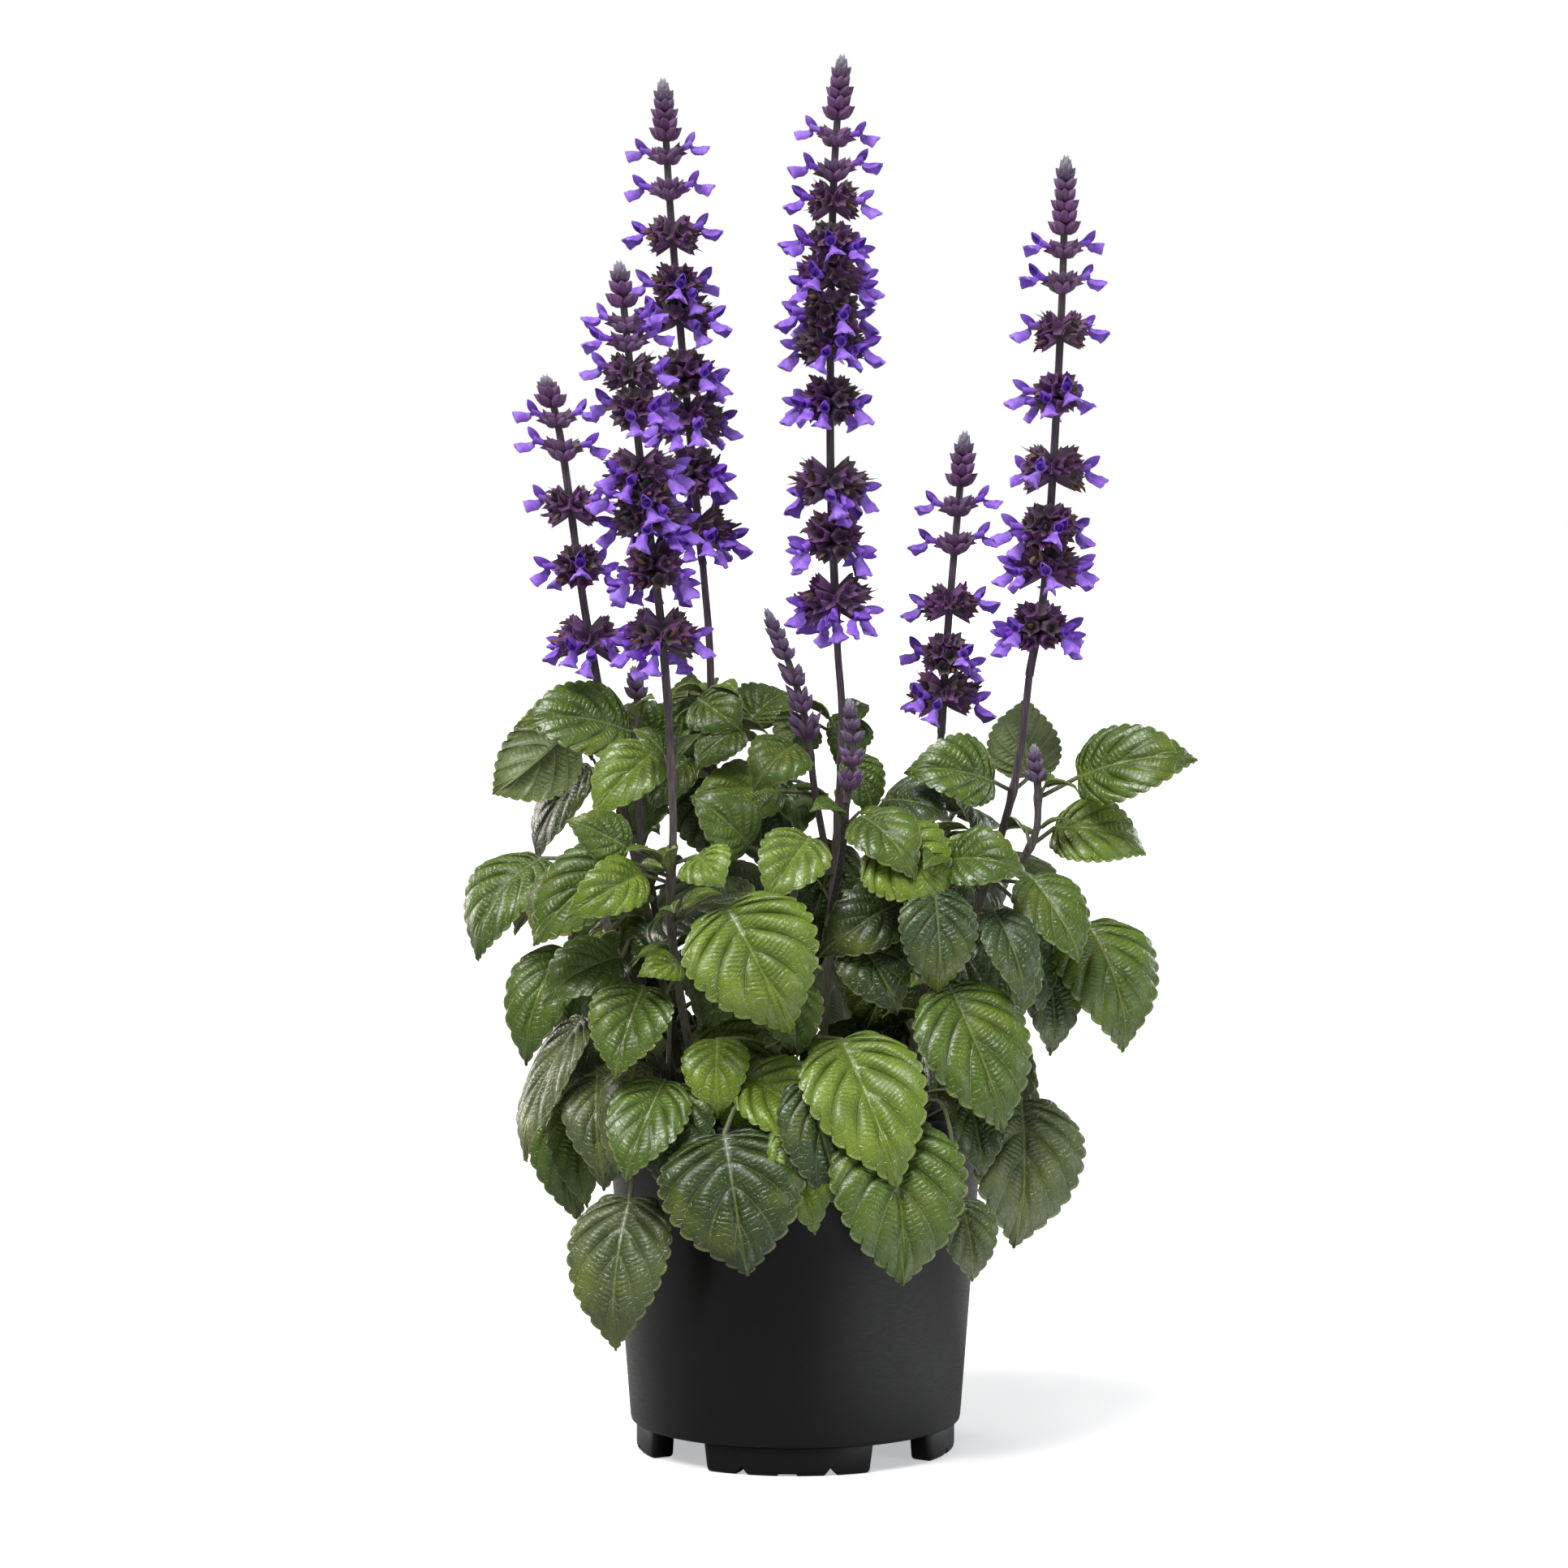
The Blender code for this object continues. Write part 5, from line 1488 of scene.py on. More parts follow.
def add_cup(gather, base, tip, width, draw, age):
    """An open calyx with ribs and teeth."""
    places = stood(cup["places"], base, tip, width * 2, draw.uniform(0, 0.6))
    body = mix(CALYX_PLUM, CALYX_LILAC, draw.uniform(0.0, 0.75))
    if draw.random() < 0.30 + 0.15 * age:
        body = mix(body, CALYX_GREEN, draw.uniform(0.3, 0.8))
    foot_tone = mix(body, CALYX_GREY, 0.55)
    tones = mix(foot_tone, body, np.clip(cup["level"] * 1.3, 0, 1))
    tones = np.where(cup["ridge"][:, None], tones * 1.25, tones * 0.8)
    # Painted shade: the inside of the cup is darker.
    tones = np.where(cup["inside"][:, None], tones * 0.6, tones)
    tones[:, 3] = 1.0
    gather.add(places, cup["faces"], CALYX, tones)


def add_bud(gather, base, tip, width, tone, end_tone, draw):
    """A closed bud."""
    places = stood(bud["places"], base, tip, width, draw.uniform(0, 0.8))
    tones = mix(tone, end_tone, np.clip(bud["level"], 0, 1) ** 1.5)
    tones = np.where(bud["ridge"][:, None], tones * 1.15, tones * 0.85)
    tones[:, 3] = 1.0
    gather.add(places, bud["faces"], CALYX, tones)


def add_needle(gather, base, tip, radius, tone):
    """A hair or a style: three thin sides that meet in a point."""
    heading = (tip - base).normalized()
    across = square_to(heading, 0.9)
    places = [base + Matrix.Rotation(math.tau * side / 3, 3, heading) @ across * radius
              for side in range(3)] + [tip]
    gather.add(places, [[0, 1, 3], [1, 2, 3], [2, 0, 3], [2, 1, 0]], TUFT, tone)


print("cup, bud and hair ready")


# %% Set down a flower
def add_corolla(gather, root, angle, tilt, length, draw):
    """An open flower: tube, hood and lip, as the plain one lies."""
    out = heading_of(angle, 0)
    side = Vector((-out.y, out.x, 0))
    turn = Matrix.Rotation(tilt, 3, side)
    forward = turn @ out
    twist = Matrix.Rotation(draw.uniform(-0.6, 0.6), 3, forward)
    axes = np.array([forward, twist @ side, twist @ turn @ Vector((0, 0, 1))]) * length
    origin = np.array(root)
    violet = mix(VIOLET, VIOLET_PALE, draw.uniform(0.05, 0.6))
    places = flower_tube["places"]
    bend = np.stack([places[:, 2], places[:, 0], places[:, 1] + 0.22 * places[:, 2]], axis=1)
    tones = mix(mix(violet, CALYX_PLUM, 0.5), violet, np.clip(places[:, 2] * 1.6, 0, 1))
    gather.add(origin + bend @ axes, flower_tube["faces"], PETAL, tones)
    # Painted shade and light: the lip is darker at its base, where it folds from the throat, and
    # paler towards its end.
    tones = mix(mix(VIOLET_DEEP, violet, 0.6), mix(violet, VIOLET_PALE, 0.7), lip["ends"] ** 1.5)
    spot_share = np.exp(-((lip["ends"] - 0.12) / 0.14) ** 2 - (lip["out"] / 0.55) ** 2)
    tones = tones + (MOUTH_SPOT - tones) * (0.8 * spot_share)[:, None]
    gather.add(origin + lip["places"] @ axes, lip["faces"], PETAL, tones)
    tones = mix(VIOLET_DEEP, violet, 0.4 * hood["ends"])
    gather.add(origin + hood["places"] @ axes, hood["faces"], PETAL, tones)


print("flower ready")

# %% [markdown]
# ## Flower spikes
#
# A spike flowers from the bottom up. Its rachis carries whorls, each of two opposite
# clusters. The oldest, lowest whorls are wide tufts of two dozen ribbed calyces, some with
# a withered tube or a thin style left in them. Open flowers stand out from all of them,
# also from the two youngest, whose other calyces are still closed. On the side shoots'
# spikes every whorl is closed. Each spike ends in a cone of plum buds under a silvery
# crown. Its small differences come from seeds of its own, so they are the same each run.

# %% Whorls of closed calyces
# The calyces of one cluster: turn from its middle, then how high foot and tip are.
BUD_CLUSTER = [(-1.1, -0.5, 0.05), (-0.4, -0.55, -0.05), (0.4, -0.55, -0.05),
               (1.1, -0.5, 0.05), (-0.75, -0.2, 0.45), (0.0, -0.25, 0.4), (0.75, -0.2, 0.45)]
BUD_WIDTH = 6.2
SMALL_BUD_WIDTH = 5.3


def closed_whorl(gather, way, level, spread, rise, turn, draw, silver, small):
    """Plump closed calyces near the top of a spike, slimmer and steeper on a young one."""
    for cluster in (0, math.pi):
        for swing, low, high in BUD_CLUSTER:
            angle = turn + cluster + swing + draw.uniform(-0.15, 0.15)
            high += draw.uniform(0.05, 0.35) if small else 0.0
            base = point_at_height(way, level + rise * low) + heading_of(angle, 0) * 0.8
            reach = spread * draw.uniform(0.84, 1.0) * (1.08 if small else 0.96 - 0.2 * high)
            tip = point_at_height(way, level + rise * high) + heading_of(angle, 0) * reach
            body = mix(CALYX_PLUM, CALYX_LILAC, draw.uniform(0, 0.6))
            body = mix(body, CALYX_GREY, silver * 0.3)
            end = mix(body, BUD_SILVER, 0.1 + 0.3 * silver)
            add_bud(gather, base, tip, SMALL_BUD_WIDTH if small else BUD_WIDTH, body, end, draw)


print("closed calyces to a whorl:", 2 * len(BUD_CLUSTER))

# %% Whorls of open calyces
# The calyces of one cluster: turn from its middle, level on the rachis, climb and length.
CLUSTER = [
    (-1.3, -0.1, 0.05, 0.9), (-0.75, -0.2, -0.25, 1.0), (-0.25, -0.3, -0.4, 0.95),
    (0.25, -0.3, -0.4, 0.95), (0.75, -0.2, -0.25, 1.0), (1.3, -0.1, 0.05, 0.9),
    (-0.85, 0.0, 0.2, 1.0), (-0.3, -0.05, 0.05, 1.02), (0.3, -0.05, 0.05, 1.02),
    (0.85, 0.0, 0.2, 1.0), (-0.5, 0.15, 0.6, 0.9), (0.1, 0.15, 0.8, 0.84), (0.6, 0.15, 0.55, 0.9),
]
# How far below and above its level a whorl may reach, as a share of its rise.
DEEPEST = 0.44
HIGHEST = 0.40
STYLE_CHANCE = 0.26
HUSK_CHANCE = 0.42
HUSK_SIZES = [0.5, 0.7, 0.95, 0.8, 0.35]
HUSK_PROFILE = [1.0, 0.75, 1.1, 0.7, 1.0]


def add_husk(gather, base, heading, draw):
    """A withered flower: a crumpled dark tube, brown at best, that curls out of its calyx."""
    way = [base]
    for _ in HUSK_SIZES[1:]:
        heading = (heading + Vector((draw.uniform(-0.4, 0.4), draw.uniform(-0.4, 0.4),
                                     draw.uniform(-0.4, 0.5)))).normalized()
        way.append(way[-1] + heading * draw.uniform(1.2, 2.0))
    places, faces = tube(way, HUSK_SIZES, Vector((0.3, 0.9, 0.2)), HUSK_PROFILE)
    gather.add(places, faces, TUFT, mix(HUSK_BROWN, STYLE_DARK, draw.uniform(0, 1) ** 0.6))


def open_whorl(gather, way, level, spread, rise, turn, draw, age):
    """A wide tuft of ribbed calyces in two clusters, with what withered flowers left."""
    for cluster in (0, math.pi):
        for swing, low, climb, share in CLUSTER:
            angle = turn + cluster + swing + draw.uniform(-0.16, 0.16)
            climb += draw.uniform(-0.14, 0.14)
            pair = 1 + 0.14 * math.cos(2 * (angle - turn))
            base = point_at_height(way, level + rise * low) + heading_of(angle, 0) * 1.2
            end = heading_of(angle, climb) * spread * share * pair * draw.uniform(0.96, 1.14)
            middle = point_at_height(way, level + rise * low * 0.6)
            drop = max(-rise * DEEPEST, min(rise * HIGHEST, end.z * 0.95))
            tip = Vector((middle.x + end.x, middle.y + end.y, middle.z + drop))
            add_cup(gather, base, tip, 4.9 + 0.6 * age, draw, age)
            heading = (tip - base).normalized()
            if age > 0.3 and draw.random() < STYLE_CHANCE:
                far = tip + heading * draw.uniform(2, 5) + Vector((0, 0, draw.uniform(-1, 2.5)))
                add_needle(gather, tip - heading * 2, far, 0.5, STYLE_DARK)
            elif age > 0.35 and draw.random() < HUSK_CHANCE:
                add_husk(gather, tip - heading * 3.5, heading, draw)


print("open calyces to a whorl:", 2 * len(CLUSTER))

# %% Flowers of a whorl
COROLLA_LENGTH = 15.8
# How likely a flower of the older whorls has a smaller one beside it.
SECOND_CHANCE = 0.6


def whorl_flowers(gather, way, level, spread, rise, index, age, draw, dress):
    """The open flowers of a whorl, each in its cup: two near the top, four low down."""
    count = 2 if index < 3 else 3 if index < 6 else 4
    turn = math.pi / 2 * (index % 2)
    for flower in range(count):
        angle = math.tau * flower / count + turn * 0.5 + draw.uniform(-0.35, 0.35)
        if count == 2:
            angle = math.pi * flower + draw.uniform(-0.4, 0.4)
        out = heading_of(angle, 0)
        height = level + rise * draw.uniform(-0.2, 0.05)
        root = point_at_height(way, height) + out * spread * 0.4
        tilt = math.radians(-12 + 4.5 * index + draw.uniform(-10, 14))
        size = COROLLA_LENGTH * (0.86 + 0.05 * min(index, 4))
        add_corolla(gather, root, angle, tilt, size, dress)
        forward = Matrix.Rotation(tilt, 3, Vector((-out.y, out.x, 0))) @ out
        mouth = root + forward * size * 0.36 + Vector((0, 0, 0.09 * size))
        add_cup(gather, point_at_height(way, height - 1.5) + out, mouth, 4.6, dress, age)
        if index > 2 and dress.random() < SECOND_CHANCE:
            turned = angle + dress.choice((-0.6, 0.6)) + dress.uniform(-0.15, 0.15)
            start = point_at_height(way, height - 1) + heading_of(turned, 0) * spread * 0.42
            lower = tilt + dress.uniform(0.1, 0.4)
            add_corolla(gather, start, turned, lower, size * 0.92, dress)


print("flower length:", COROLLA_LENGTH)

# %% The bud cone
CONE_RADIUS = 6.2
YOUNG_CONE_RADIUS = 4.6
CROWN_HEIGHT = 9.0
TIER_HEIGHT = 4.3
CROWN_RINGS = 4
# Share of the cone's height and of its radius, where its hairs are rooted.
CONE_PROFILE = [(0.0, 0.55), (0.22, 0.95), (0.45, 1.0), (0.7, 0.72), (0.9, 0.36), (1.0, 0.08)]


def cone_tiers(gather, way, start, top, crown, radius, draw, bloom):
    """Tiers of plump buds, three to a side, each tier turned from the one below."""
    height = top - start
    tiers = max(2, round((height - crown) / TIER_HEIGHT))
    for tier in range(tiers):
        level = start - 1.0 + (height - crown) * tier / tiers
        share = max(0.0, (level - start) / height)
        reach = radius * (1.16 - 0.62 * share)
        for side in (0, math.pi):
            for swing in (-0.85, 0.0, 0.85):
                angle = side + swing + math.pi / 2 * (tier % 2) + draw.uniform(-0.12, 0.12)
                out = heading_of(angle, 0)
                base = point_at_height(way, level - 0.8) + out * 0.4
                tip = point_at_height(way, min(top - 0.5, level + 4.4)) + out * reach
                plum = mix(CALYX_PLUM, CALYX_LILAC, draw.uniform(0.0, 0.7))
                tone = mix(plum, CALYX_GREY, bloom + (0.5 - 0.5 * bloom) * share ** 2)
                end = mix(tone, BUD_SILVER, 0.05 + 0.4 * bloom + 0.5 * share ** 2)
                width = (7.6 - 2.4 * share) * radius / CONE_RADIUS
                add_bud(gather, base, tip, width, tone, end, draw)


def cone_crown(gather, way, top, crown, radius, draw):
    """Rings of four ever smaller and more silvery buds that close the cone."""
    for step in range(CROWN_RINGS):
        for side in range(4):
            angle = math.tau * side / 4 + 0.8 * step
            base = point_at_height(way, top - crown + step * crown * 0.2 - 2.5)
            tip = point_at_height(way, top - 0.3 - (CROWN_RINGS - 1 - step) * crown * 0.2)
            tip += heading_of(angle, 0) * (4.3 - 1.05 * step) * radius / CONE_RADIUS
            silver = mix(CALYX_GREY, HAIR_WHITE, 0.25 * step)
            foot = mix(CALYX_PLUM, CALYX_GREY, 0.4 + 0.2 * step)
            width = (6.4 - 0.8 * step) * radius / CONE_RADIUS
            add_bud(gather, base, tip, width, foot, silver, draw)


def cone_radius_at(share):
    """The cone's radius at a share of its height, as a share of its largest."""
    for (low, near), (high, far) in zip(CONE_PROFILE, CONE_PROFILE[1:]):
        if share <= high:
            return near + (far - near) * (share - low) / (high - low)
    return CONE_PROFILE[-1][1]


def cone_hairs(gather, way, start, top, crown, radius, draw):
    """Short white hairs on the crown."""
    height = top - start
    for _ in range(int(7 * crown)):
        share = 1 - crown / height * draw.uniform(0.02, 1.3)
        angle = draw.uniform(0, math.tau)
        root = point_at_height(way, start + height * share)
        root = root + heading_of(angle, 0) * radius * cone_radius_at(share) * 0.7
        tip = root + heading_of(angle, draw.uniform(0.2, 1.1)) * draw.uniform(0.8, 1.5)
        add_needle(gather, root, tip, 0.06, HAIR_WHITE)


def bud_cone(gather, way, start, top, radius, draw, bloom):
    """The end of a spike: tiers of plum buds under a silvery, hairy crown."""
    crown = min(CROWN_HEIGHT, 0.4 * (top - start))
    cone_tiers(gather, way, start, top, crown, radius, draw, bloom)
    cone_crown(gather, way, top, crown, radius, draw)
    cone_hairs(gather, way, start, top, crown, radius, draw)


print("radius of the cones:", CONE_RADIUS, "and of the young ones:", YOUNG_CONE_RADIUS)

# %% Whole spikes
TOP_SPREAD = 7.5
LOW_SPREAD = 13.5
TOP_RISE = 8.5
LOW_RISE = 15.5
FULL_SIZE_WHORL = 5
CROWDING = 0.86
YOUNG_SHARE = 0.75
YOUNGEST_WHORLS = 2
RACHIS_HALF = 1.85
RACHIS_TAPER = 0.4
DRESS_SEED = 500


def whorl_sizes(heights, index, cone_start, small):
    """Spread and rise of a whorl: small near the top, and clear of the ones next to it."""
    above = heights[index - 1] if index else cone_start
    room = above - heights[index]
    if index < len(heights) - 1:
        room = min(room, heights[index] - heights[index + 1])
    age = min(1.0, index / FULL_SIZE_WHORL)
    spread = TOP_SPREAD + (LOW_SPREAD - TOP_SPREAD) * age
    rise = min(TOP_RISE + (LOW_RISE - TOP_RISE) * age, CROWDING * room)
    return spread * (YOUNG_SHARE if small else 1.0), rise


def rachis_tube(gather, corners, top, small):
    """The spike's square stem, which ends inside its cone."""
    way = [point for point in smooth_route(corners, 12) if point.z < top - 3]
    thick = 0.6 if small else 1.0
    halves = [(RACHIS_HALF - RACHIS_TAPER * step / len(way)) * (0.85 + 0.15 * thick)
              for step in range(len(way))]
    stem_tube(gather, way, halves, [], RACHIS)


def spike(key, places, cone_start, heights, closed_whorls, small):
    """All that grows on one spike, placed flower for flower like its plain solid."""
    gather = Gather()
    corners = [spot(*place) for place in places]
    way = smooth_route(corners, 3)
    top = way[-1].z
    draw = random.Random(ord(key))
    dress = random.Random(ord(key) + DRESS_SEED)
    depth = places[0][2]
    levels = [seen_level(height, depth) for height in heights]
    cone_level = seen_level(cone_start, depth)
    rachis_tube(gather, corners, top, small)
    for index in reversed(range(len(levels))):
        level = levels[index]
        spread, rise = whorl_sizes(levels, index, cone_level, small)
        turn = math.pi / 2 * (index % 2)
        age = min(1.0, index / FULL_SIZE_WHORL)
        closed = index < closed_whorls
        if closed or index < YOUNGEST_WHORLS:
            silver = 0.75 if closed else 0.4
            closed_whorl(gather, way, level, spread, rise, turn, dress, silver, small)
        else:
            open_whorl(gather, way, level, spread, rise, turn, dress, age)
        if not closed:
            whorl_flowers(gather, way, level, spread, rise, index, age, draw, dress)
    radius = YOUNG_CONE_RADIUS if small else CONE_RADIUS
    bud_cone(gather, way, cone_level, top, radius, dress, 0.5 if small else 0.0)
    return gather


for table, small, label, slot in ((SPIKES, False, "flower_spike_", "flower_violet"),
                                  (BUD_SPIKES, True, "bud_spike_", "bud_plum")):
    for key, row in table.items():
        made = spike(key, *row, small).piece("fine_" + label + key, SPIKE_FINISHES, label + key,
                                             slot, angle=60)
        print(made.name, "triangles", triangles(made))

# %% [markdown]
# ## The pot
#
# A nursery pot is blown or moulded in one piece from thin black plastic: a tapered wall
# under a rolled rim, a floor, and a foot ring cut into four feet. The wall is spun from
# its profile in one turn. Each foot is a block spun from the same axis through the part
# of a turn it spans, then joined on; notches and a shallow recess are cut from its edge.


# %% Spin a body
def spun(name, profile, steps, turn, start, closed):
    """A body spun about the pot's axis from a profile of (radius, height)."""
    first = Matrix.Rotation(start, 3, "Z")
    places = [tuple(first @ Vector((radius, 0, level)) * MM) for radius, level in profile]
    edges = [(i, i + 1) for i in range(len(profile) - 1)]
    if closed:
        edges.append((len(profile) - 1, 0))
    faces = [list(range(len(profile)))] if closed else []
    made = new_body(name, places, edges, faces)
    bpy.ops.object.mode_set(mode="EDIT")
    bpy.ops.mesh.select_all(action="SELECT")
    bpy.ops.mesh.spin(steps=steps, angle=turn, center=(0, 0, 0), axis=(0, 0, 1))
    bpy.ops.mesh.select_all(action="SELECT")
    bpy.ops.mesh.remove_doubles(threshold=0.00001)
    face_outward()
    bpy.ops.object.mode_set(mode="OBJECT")
    return in_order(made)


print("spinner ready")


# %% Wall and rim
def wall_radius(level):
    """The pot wall's outer radius at a height."""
    share = (level - FLOOR_LEVEL) / (POT_HEIGHT - FLOOR_LEVEL)
    return WALL_FOOT_RADIUS + (WALL_TOP_RADIUS - WALL_FOOT_RADIUS) * share


def inner_radius(level):
    """The pot wall's inner radius at a height."""
    low = WALL_FOOT_RADIUS - WALL
    high = wall_radius(POT_HEIGHT - RIM_DEPTH) - WALL
    return low + (high - low) * (level - FLOOR_TOP) / (RIM_INNER_LEVEL - FLOOR_TOP)


LIP_LEVEL = POT_HEIGHT - RIM_DEPTH
SPIN_STEPS = 128
POT_PROFILE = [
    (0.0, FLOOR_LEVEL), (50.0, FLOOR_LEVEL), (69.6, FLOOR_LEVEL), (70.8, FLOOR_LEVEL + 0.3),
    (71.6, FLOOR_LEVEL + 1.1), (71.9, FLOOR_LEVEL + 2.4), (wall_radius(60), 60.0),
    (wall_radius(100), 100.0), (wall_radius(LIP_LEVEL - 1.2), LIP_LEVEL - 1.2),
    (wall_radius(LIP_LEVEL) + 0.5, LIP_LEVEL - 0.1), (RIM_RADIUS - 0.9, LIP_LEVEL + 0.3),
    (RIM_RADIUS - 0.2, LIP_LEVEL + 1.0), (RIM_RADIUS, LIP_LEVEL + 2.0),
    (RIM_RADIUS, POT_HEIGHT - 2.2), (RIM_RADIUS - 0.35, POT_HEIGHT - 0.9),
    (RIM_RADIUS - 1.2, POT_HEIGHT - 0.15), (RIM_RADIUS - 2.2, POT_HEIGHT),
    (inner_radius(POT_HEIGHT) + 0.7, POT_HEIGHT - 0.1), (inner_radius(148.6), 148.6),
    (inner_radius(120), 120.0), (inner_radius(60), 60.0), (inner_radius(16.5), 16.5),
    (inner_radius(14) - 1.6, FLOOR_TOP), (0.0, FLOOR_TOP),
]
pot = spun("fine_pot", POT_PROFILE, SPIN_STEPS, math.tau, 0.0, False)
print("pot wall faces:", len(pot.data.polygons))

# %% A foot
FOOT_HEADINGS = [-93, -3, 87, 177]
FOOT_SPAN = 64.0
FOOT_STEPS = 18
FOOT_INNER = 59.0
FOOT_OUTER = WALL_FOOT_RADIUS - 1.0 - 1.5
FOOT_TOP = 13.2
FOOT_TAPER = 0.05
FOOT_ROUNDING = 1.8


def foot_block(heading):
    """One foot: a block spun through part of a turn, with softened edges and sloped ends."""
    span = math.radians(FOOT_SPAN)
    start = math.radians(heading) + span / 2
    profile = [(FOOT_INNER, 0.0), (FOOT_OUTER, 0.0), (FOOT_OUTER, FOOT_TOP), (FOOT_INNER, FOOT_TOP)]
    block = spun("foot", profile, FOOT_STEPS, span, start, True)
    middle = math.radians(heading)
    for vertex in block.data.vertices:
        x, y, level = vertex.co
        off = (math.atan2(y, x) - middle + math.pi) % math.tau - math.pi
        narrowed = middle + off * (1 - FOOT_TAPER * (1 - level / MM / FOOT_TOP))
        radius = math.hypot(x, y)
        vertex.co = (radius * math.cos(narrowed), radius * math.sin(narrowed), level)
    bevel = block.modifiers.new("soft_edges", "BEVEL")
    bevel.width = FOOT_ROUNDING * MM
    bevel.segments = 3
    bevel.limit_method = "ANGLE"
    bpy.ops.object.modifier_apply(modifier="soft_edges")
    return in_order(block)


print("feet:", len(FOOT_HEADINGS), "each", FOOT_SPAN, "degrees wide")

# %% Cut the feet and join them on
NOTCH = 3.8
NOTCH_TURNS = [-16.5, 15.5]
# Sections of the cutting bars, as (across, level), and where each bar starts.
NOTCH_SECTION = [(NOTCH, -1), (-NOTCH, -1), (0, NOTCH)]
NOTCH_START = FOOT_INNER - 4
RECESS_SECTION = [(-4.6, -1.0), (4.6, -1.0), (3.8, 1.2), (-3.8, 1.2)]
RECESS_START = FOOT_INNER + 5
BAR_END = WALL_FOOT_RADIUS + 6


def cutting_bar(name, angle, start, section):
    """A bar that points outward through a foot's lower edge."""
    out = heading_of(angle, 0)
    side = Vector((-out.y, out.x, 0))
    places = [tuple((out * reach + side * across + Vector((0, 0, level))) * MM)
              for reach in (start, BAR_END) for across, level in section]
    bar = new_body(name, places, [], ring_faces(2, len(section)))
    bpy.ops.object.mode_set(mode="EDIT")
    face_outward()
    bpy.ops.object.mode_set(mode="OBJECT")
    return bar


def take(body, tool, operation):
    """Join a tool to a body, or cut it out, and drop the tool."""
    boolean = body.modifiers.new("step", "BOOLEAN")
    boolean.operation = operation
    boolean.object = tool
    boolean.solver = "EXACT"
    chosen(body)
    bpy.ops.object.modifier_apply(modifier="step")
    bpy.data.objects.remove(tool)


for heading in FOOT_HEADINGS:
    block = foot_block(heading)
    for turn in NOTCH_TURNS:
        notch = cutting_bar("notch", math.radians(heading + turn), NOTCH_START, NOTCH_SECTION)
        take(block, notch, "DIFFERENCE")
    recess = cutting_bar("recess", math.radians(heading), RECESS_START, RECESS_SECTION)
    take(block, recess, "DIFFERENCE")
    take(pot, block, "UNION")
pot.data.materials.append(black_plastic)
pot.data.transform(Matrix.Translation(Vector(-SPREAD_CENTRE * MM)))
chosen(pot)
bpy.ops.object.shade_smooth_by_angle(angle=math.radians(32))
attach(pot, "root")
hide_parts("pot")
print("pot faces:", len(pot.data.polygons))

# %% [markdown]
# ## The soil
#
# Peat settles into a slightly lumpy surface a little below the rim, sinks a touch at each
# stem and lies loose in crumbs. A round plate is drawn in from its edge ring by ring, its
# corners are raised and lowered by noise, and small crumbs are strewn over it.

# %% Lumpy plate
SOIL_RINGS = 26
SOIL_SIDES = 120
SOIL_BROWN = paint(52, 40, 30)
SOIL_LEVEL = SOIL_TOP - 0.6
SOIL_HIGHEST = SOIL_TOP + 1.0
SOIL_EDGE = inner_radius(SOIL_TOP) - GAP
SOIL_FOOT = inner_radius(FLOOR_TOP) - GAP - 1.4
STEM_DIP = 1.2
STEM_DIP_REACH = 5.0
stem_feet = [stem_places(key)[0] for key in STEMS]


def soil_level(x, y):
    """The height of the soil's surface at a place."""
    level = SOIL_LEVEL + 1.6 * noise.noise(Vector((x, y, 0)) * 0.09)
    level += 0.8 * noise.noise(Vector((x, y, 7)) * 0.33)
    for foot in stem_feet:
        away = math.hypot(x - foot.x, y - foot.y)
        level -= STEM_DIP * math.exp(-(away / STEM_DIP_REACH) ** 2)
    return min(level, SOIL_HIGHEST)


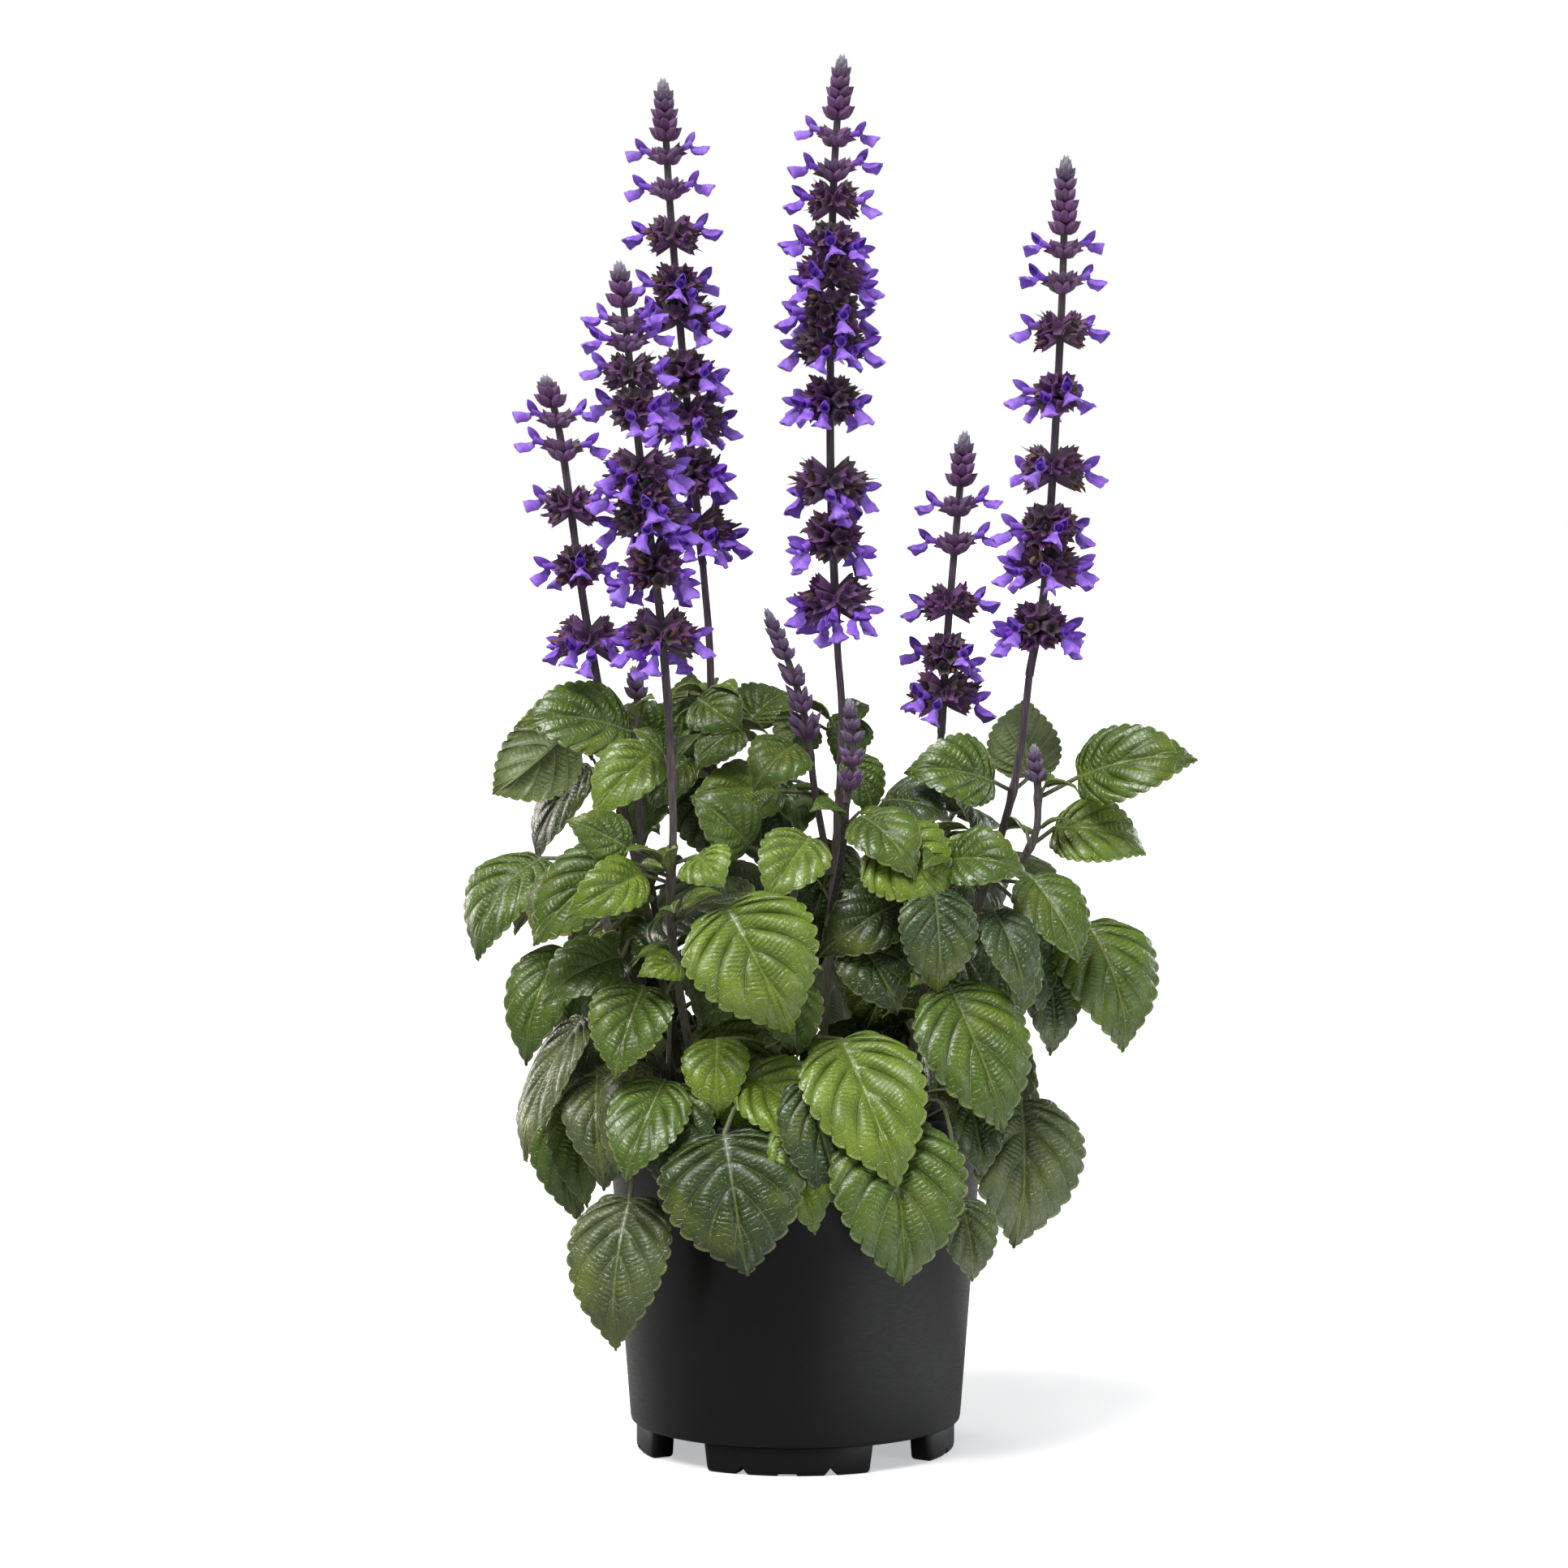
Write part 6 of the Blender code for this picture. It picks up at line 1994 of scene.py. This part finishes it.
def add_plate(gather):
    """The soil's body: up its side, then in over its surface ring by ring."""
    rings = [(SOIL_FOOT, FLOOR_TOP + GAP), (SOIL_EDGE, SOIL_TOP - 2.5)]
    for ring in range(SOIL_RINGS):
        rings.append((SOIL_EDGE * (1 - ring / SOIL_RINGS) * (0.998 if ring == 0 else 1.0), None))
    places = []
    for radius, level in rings:
        for side in range(SOIL_SIDES):
            angle = math.tau * side / SOIL_SIDES
            x = math.cos(angle) * radius
            y = math.sin(angle) * radius
            places.append(Vector((x, y, soil_level(x, y) if level is None else level)))
    gather.add(places, ring_faces(len(rings), SOIL_SIDES), 0, SOIL_BROWN)


gather = Gather()
add_plate(gather)
print("faces of the plate:", len(gather.faces))

# %% Crumbs
CRUMBS = 260
CRUMB_SIZES = (0.6, 2.3)
CRUMB_BROWN = paint(84, 66, 48)
CLEAR_OF_STEM = 5
CRUMB_SEED = 77


def add_crumbs(gather):
    """Small lumpy crumbs strewn over the soil, clear of the stems."""
    bpy.ops.mesh.primitive_ico_sphere_add(subdivisions=1, radius=1)
    ball, faces = lifted_off(bpy.context.object)
    draw = random.Random(CRUMB_SEED)
    for _ in range(CRUMBS):
        away = (SOIL_EDGE - 3) * math.sqrt(draw.random())
        angle = draw.uniform(0, math.tau)
        x = away * math.cos(angle)
        y = away * math.sin(angle)
        if min(math.hypot(x - foot.x, y - foot.y) for foot in stem_feet) < CLEAR_OF_STEM:
            continue
        size = draw.uniform(*CRUMB_SIZES)
        stretch = [size, size * draw.uniform(0.6, 1.0), size * draw.uniform(0.5, 0.9)]
        lumps = ball * np.array(stretch)
        lumps = lumps * (1 + 0.25 * np.array([draw.uniform(-1, 1) for _ in lumps]))[:, None]
        swing = np.array(Matrix.Rotation(draw.uniform(0, math.tau), 3, "Z"))
        lumps = lumps @ swing + np.array([x, y, soil_level(x, y) + 0.2 * size])
        gather.add(lumps, faces, 0, mix(SOIL_BROWN, CRUMB_BROWN, draw.random() * 0.6))


add_crumbs(gather)
soil = gather.piece("fine_soil", [damp_peat], "soil", "potting_soil", angle=40)
print("soil faces:", len(soil.data.polygons))
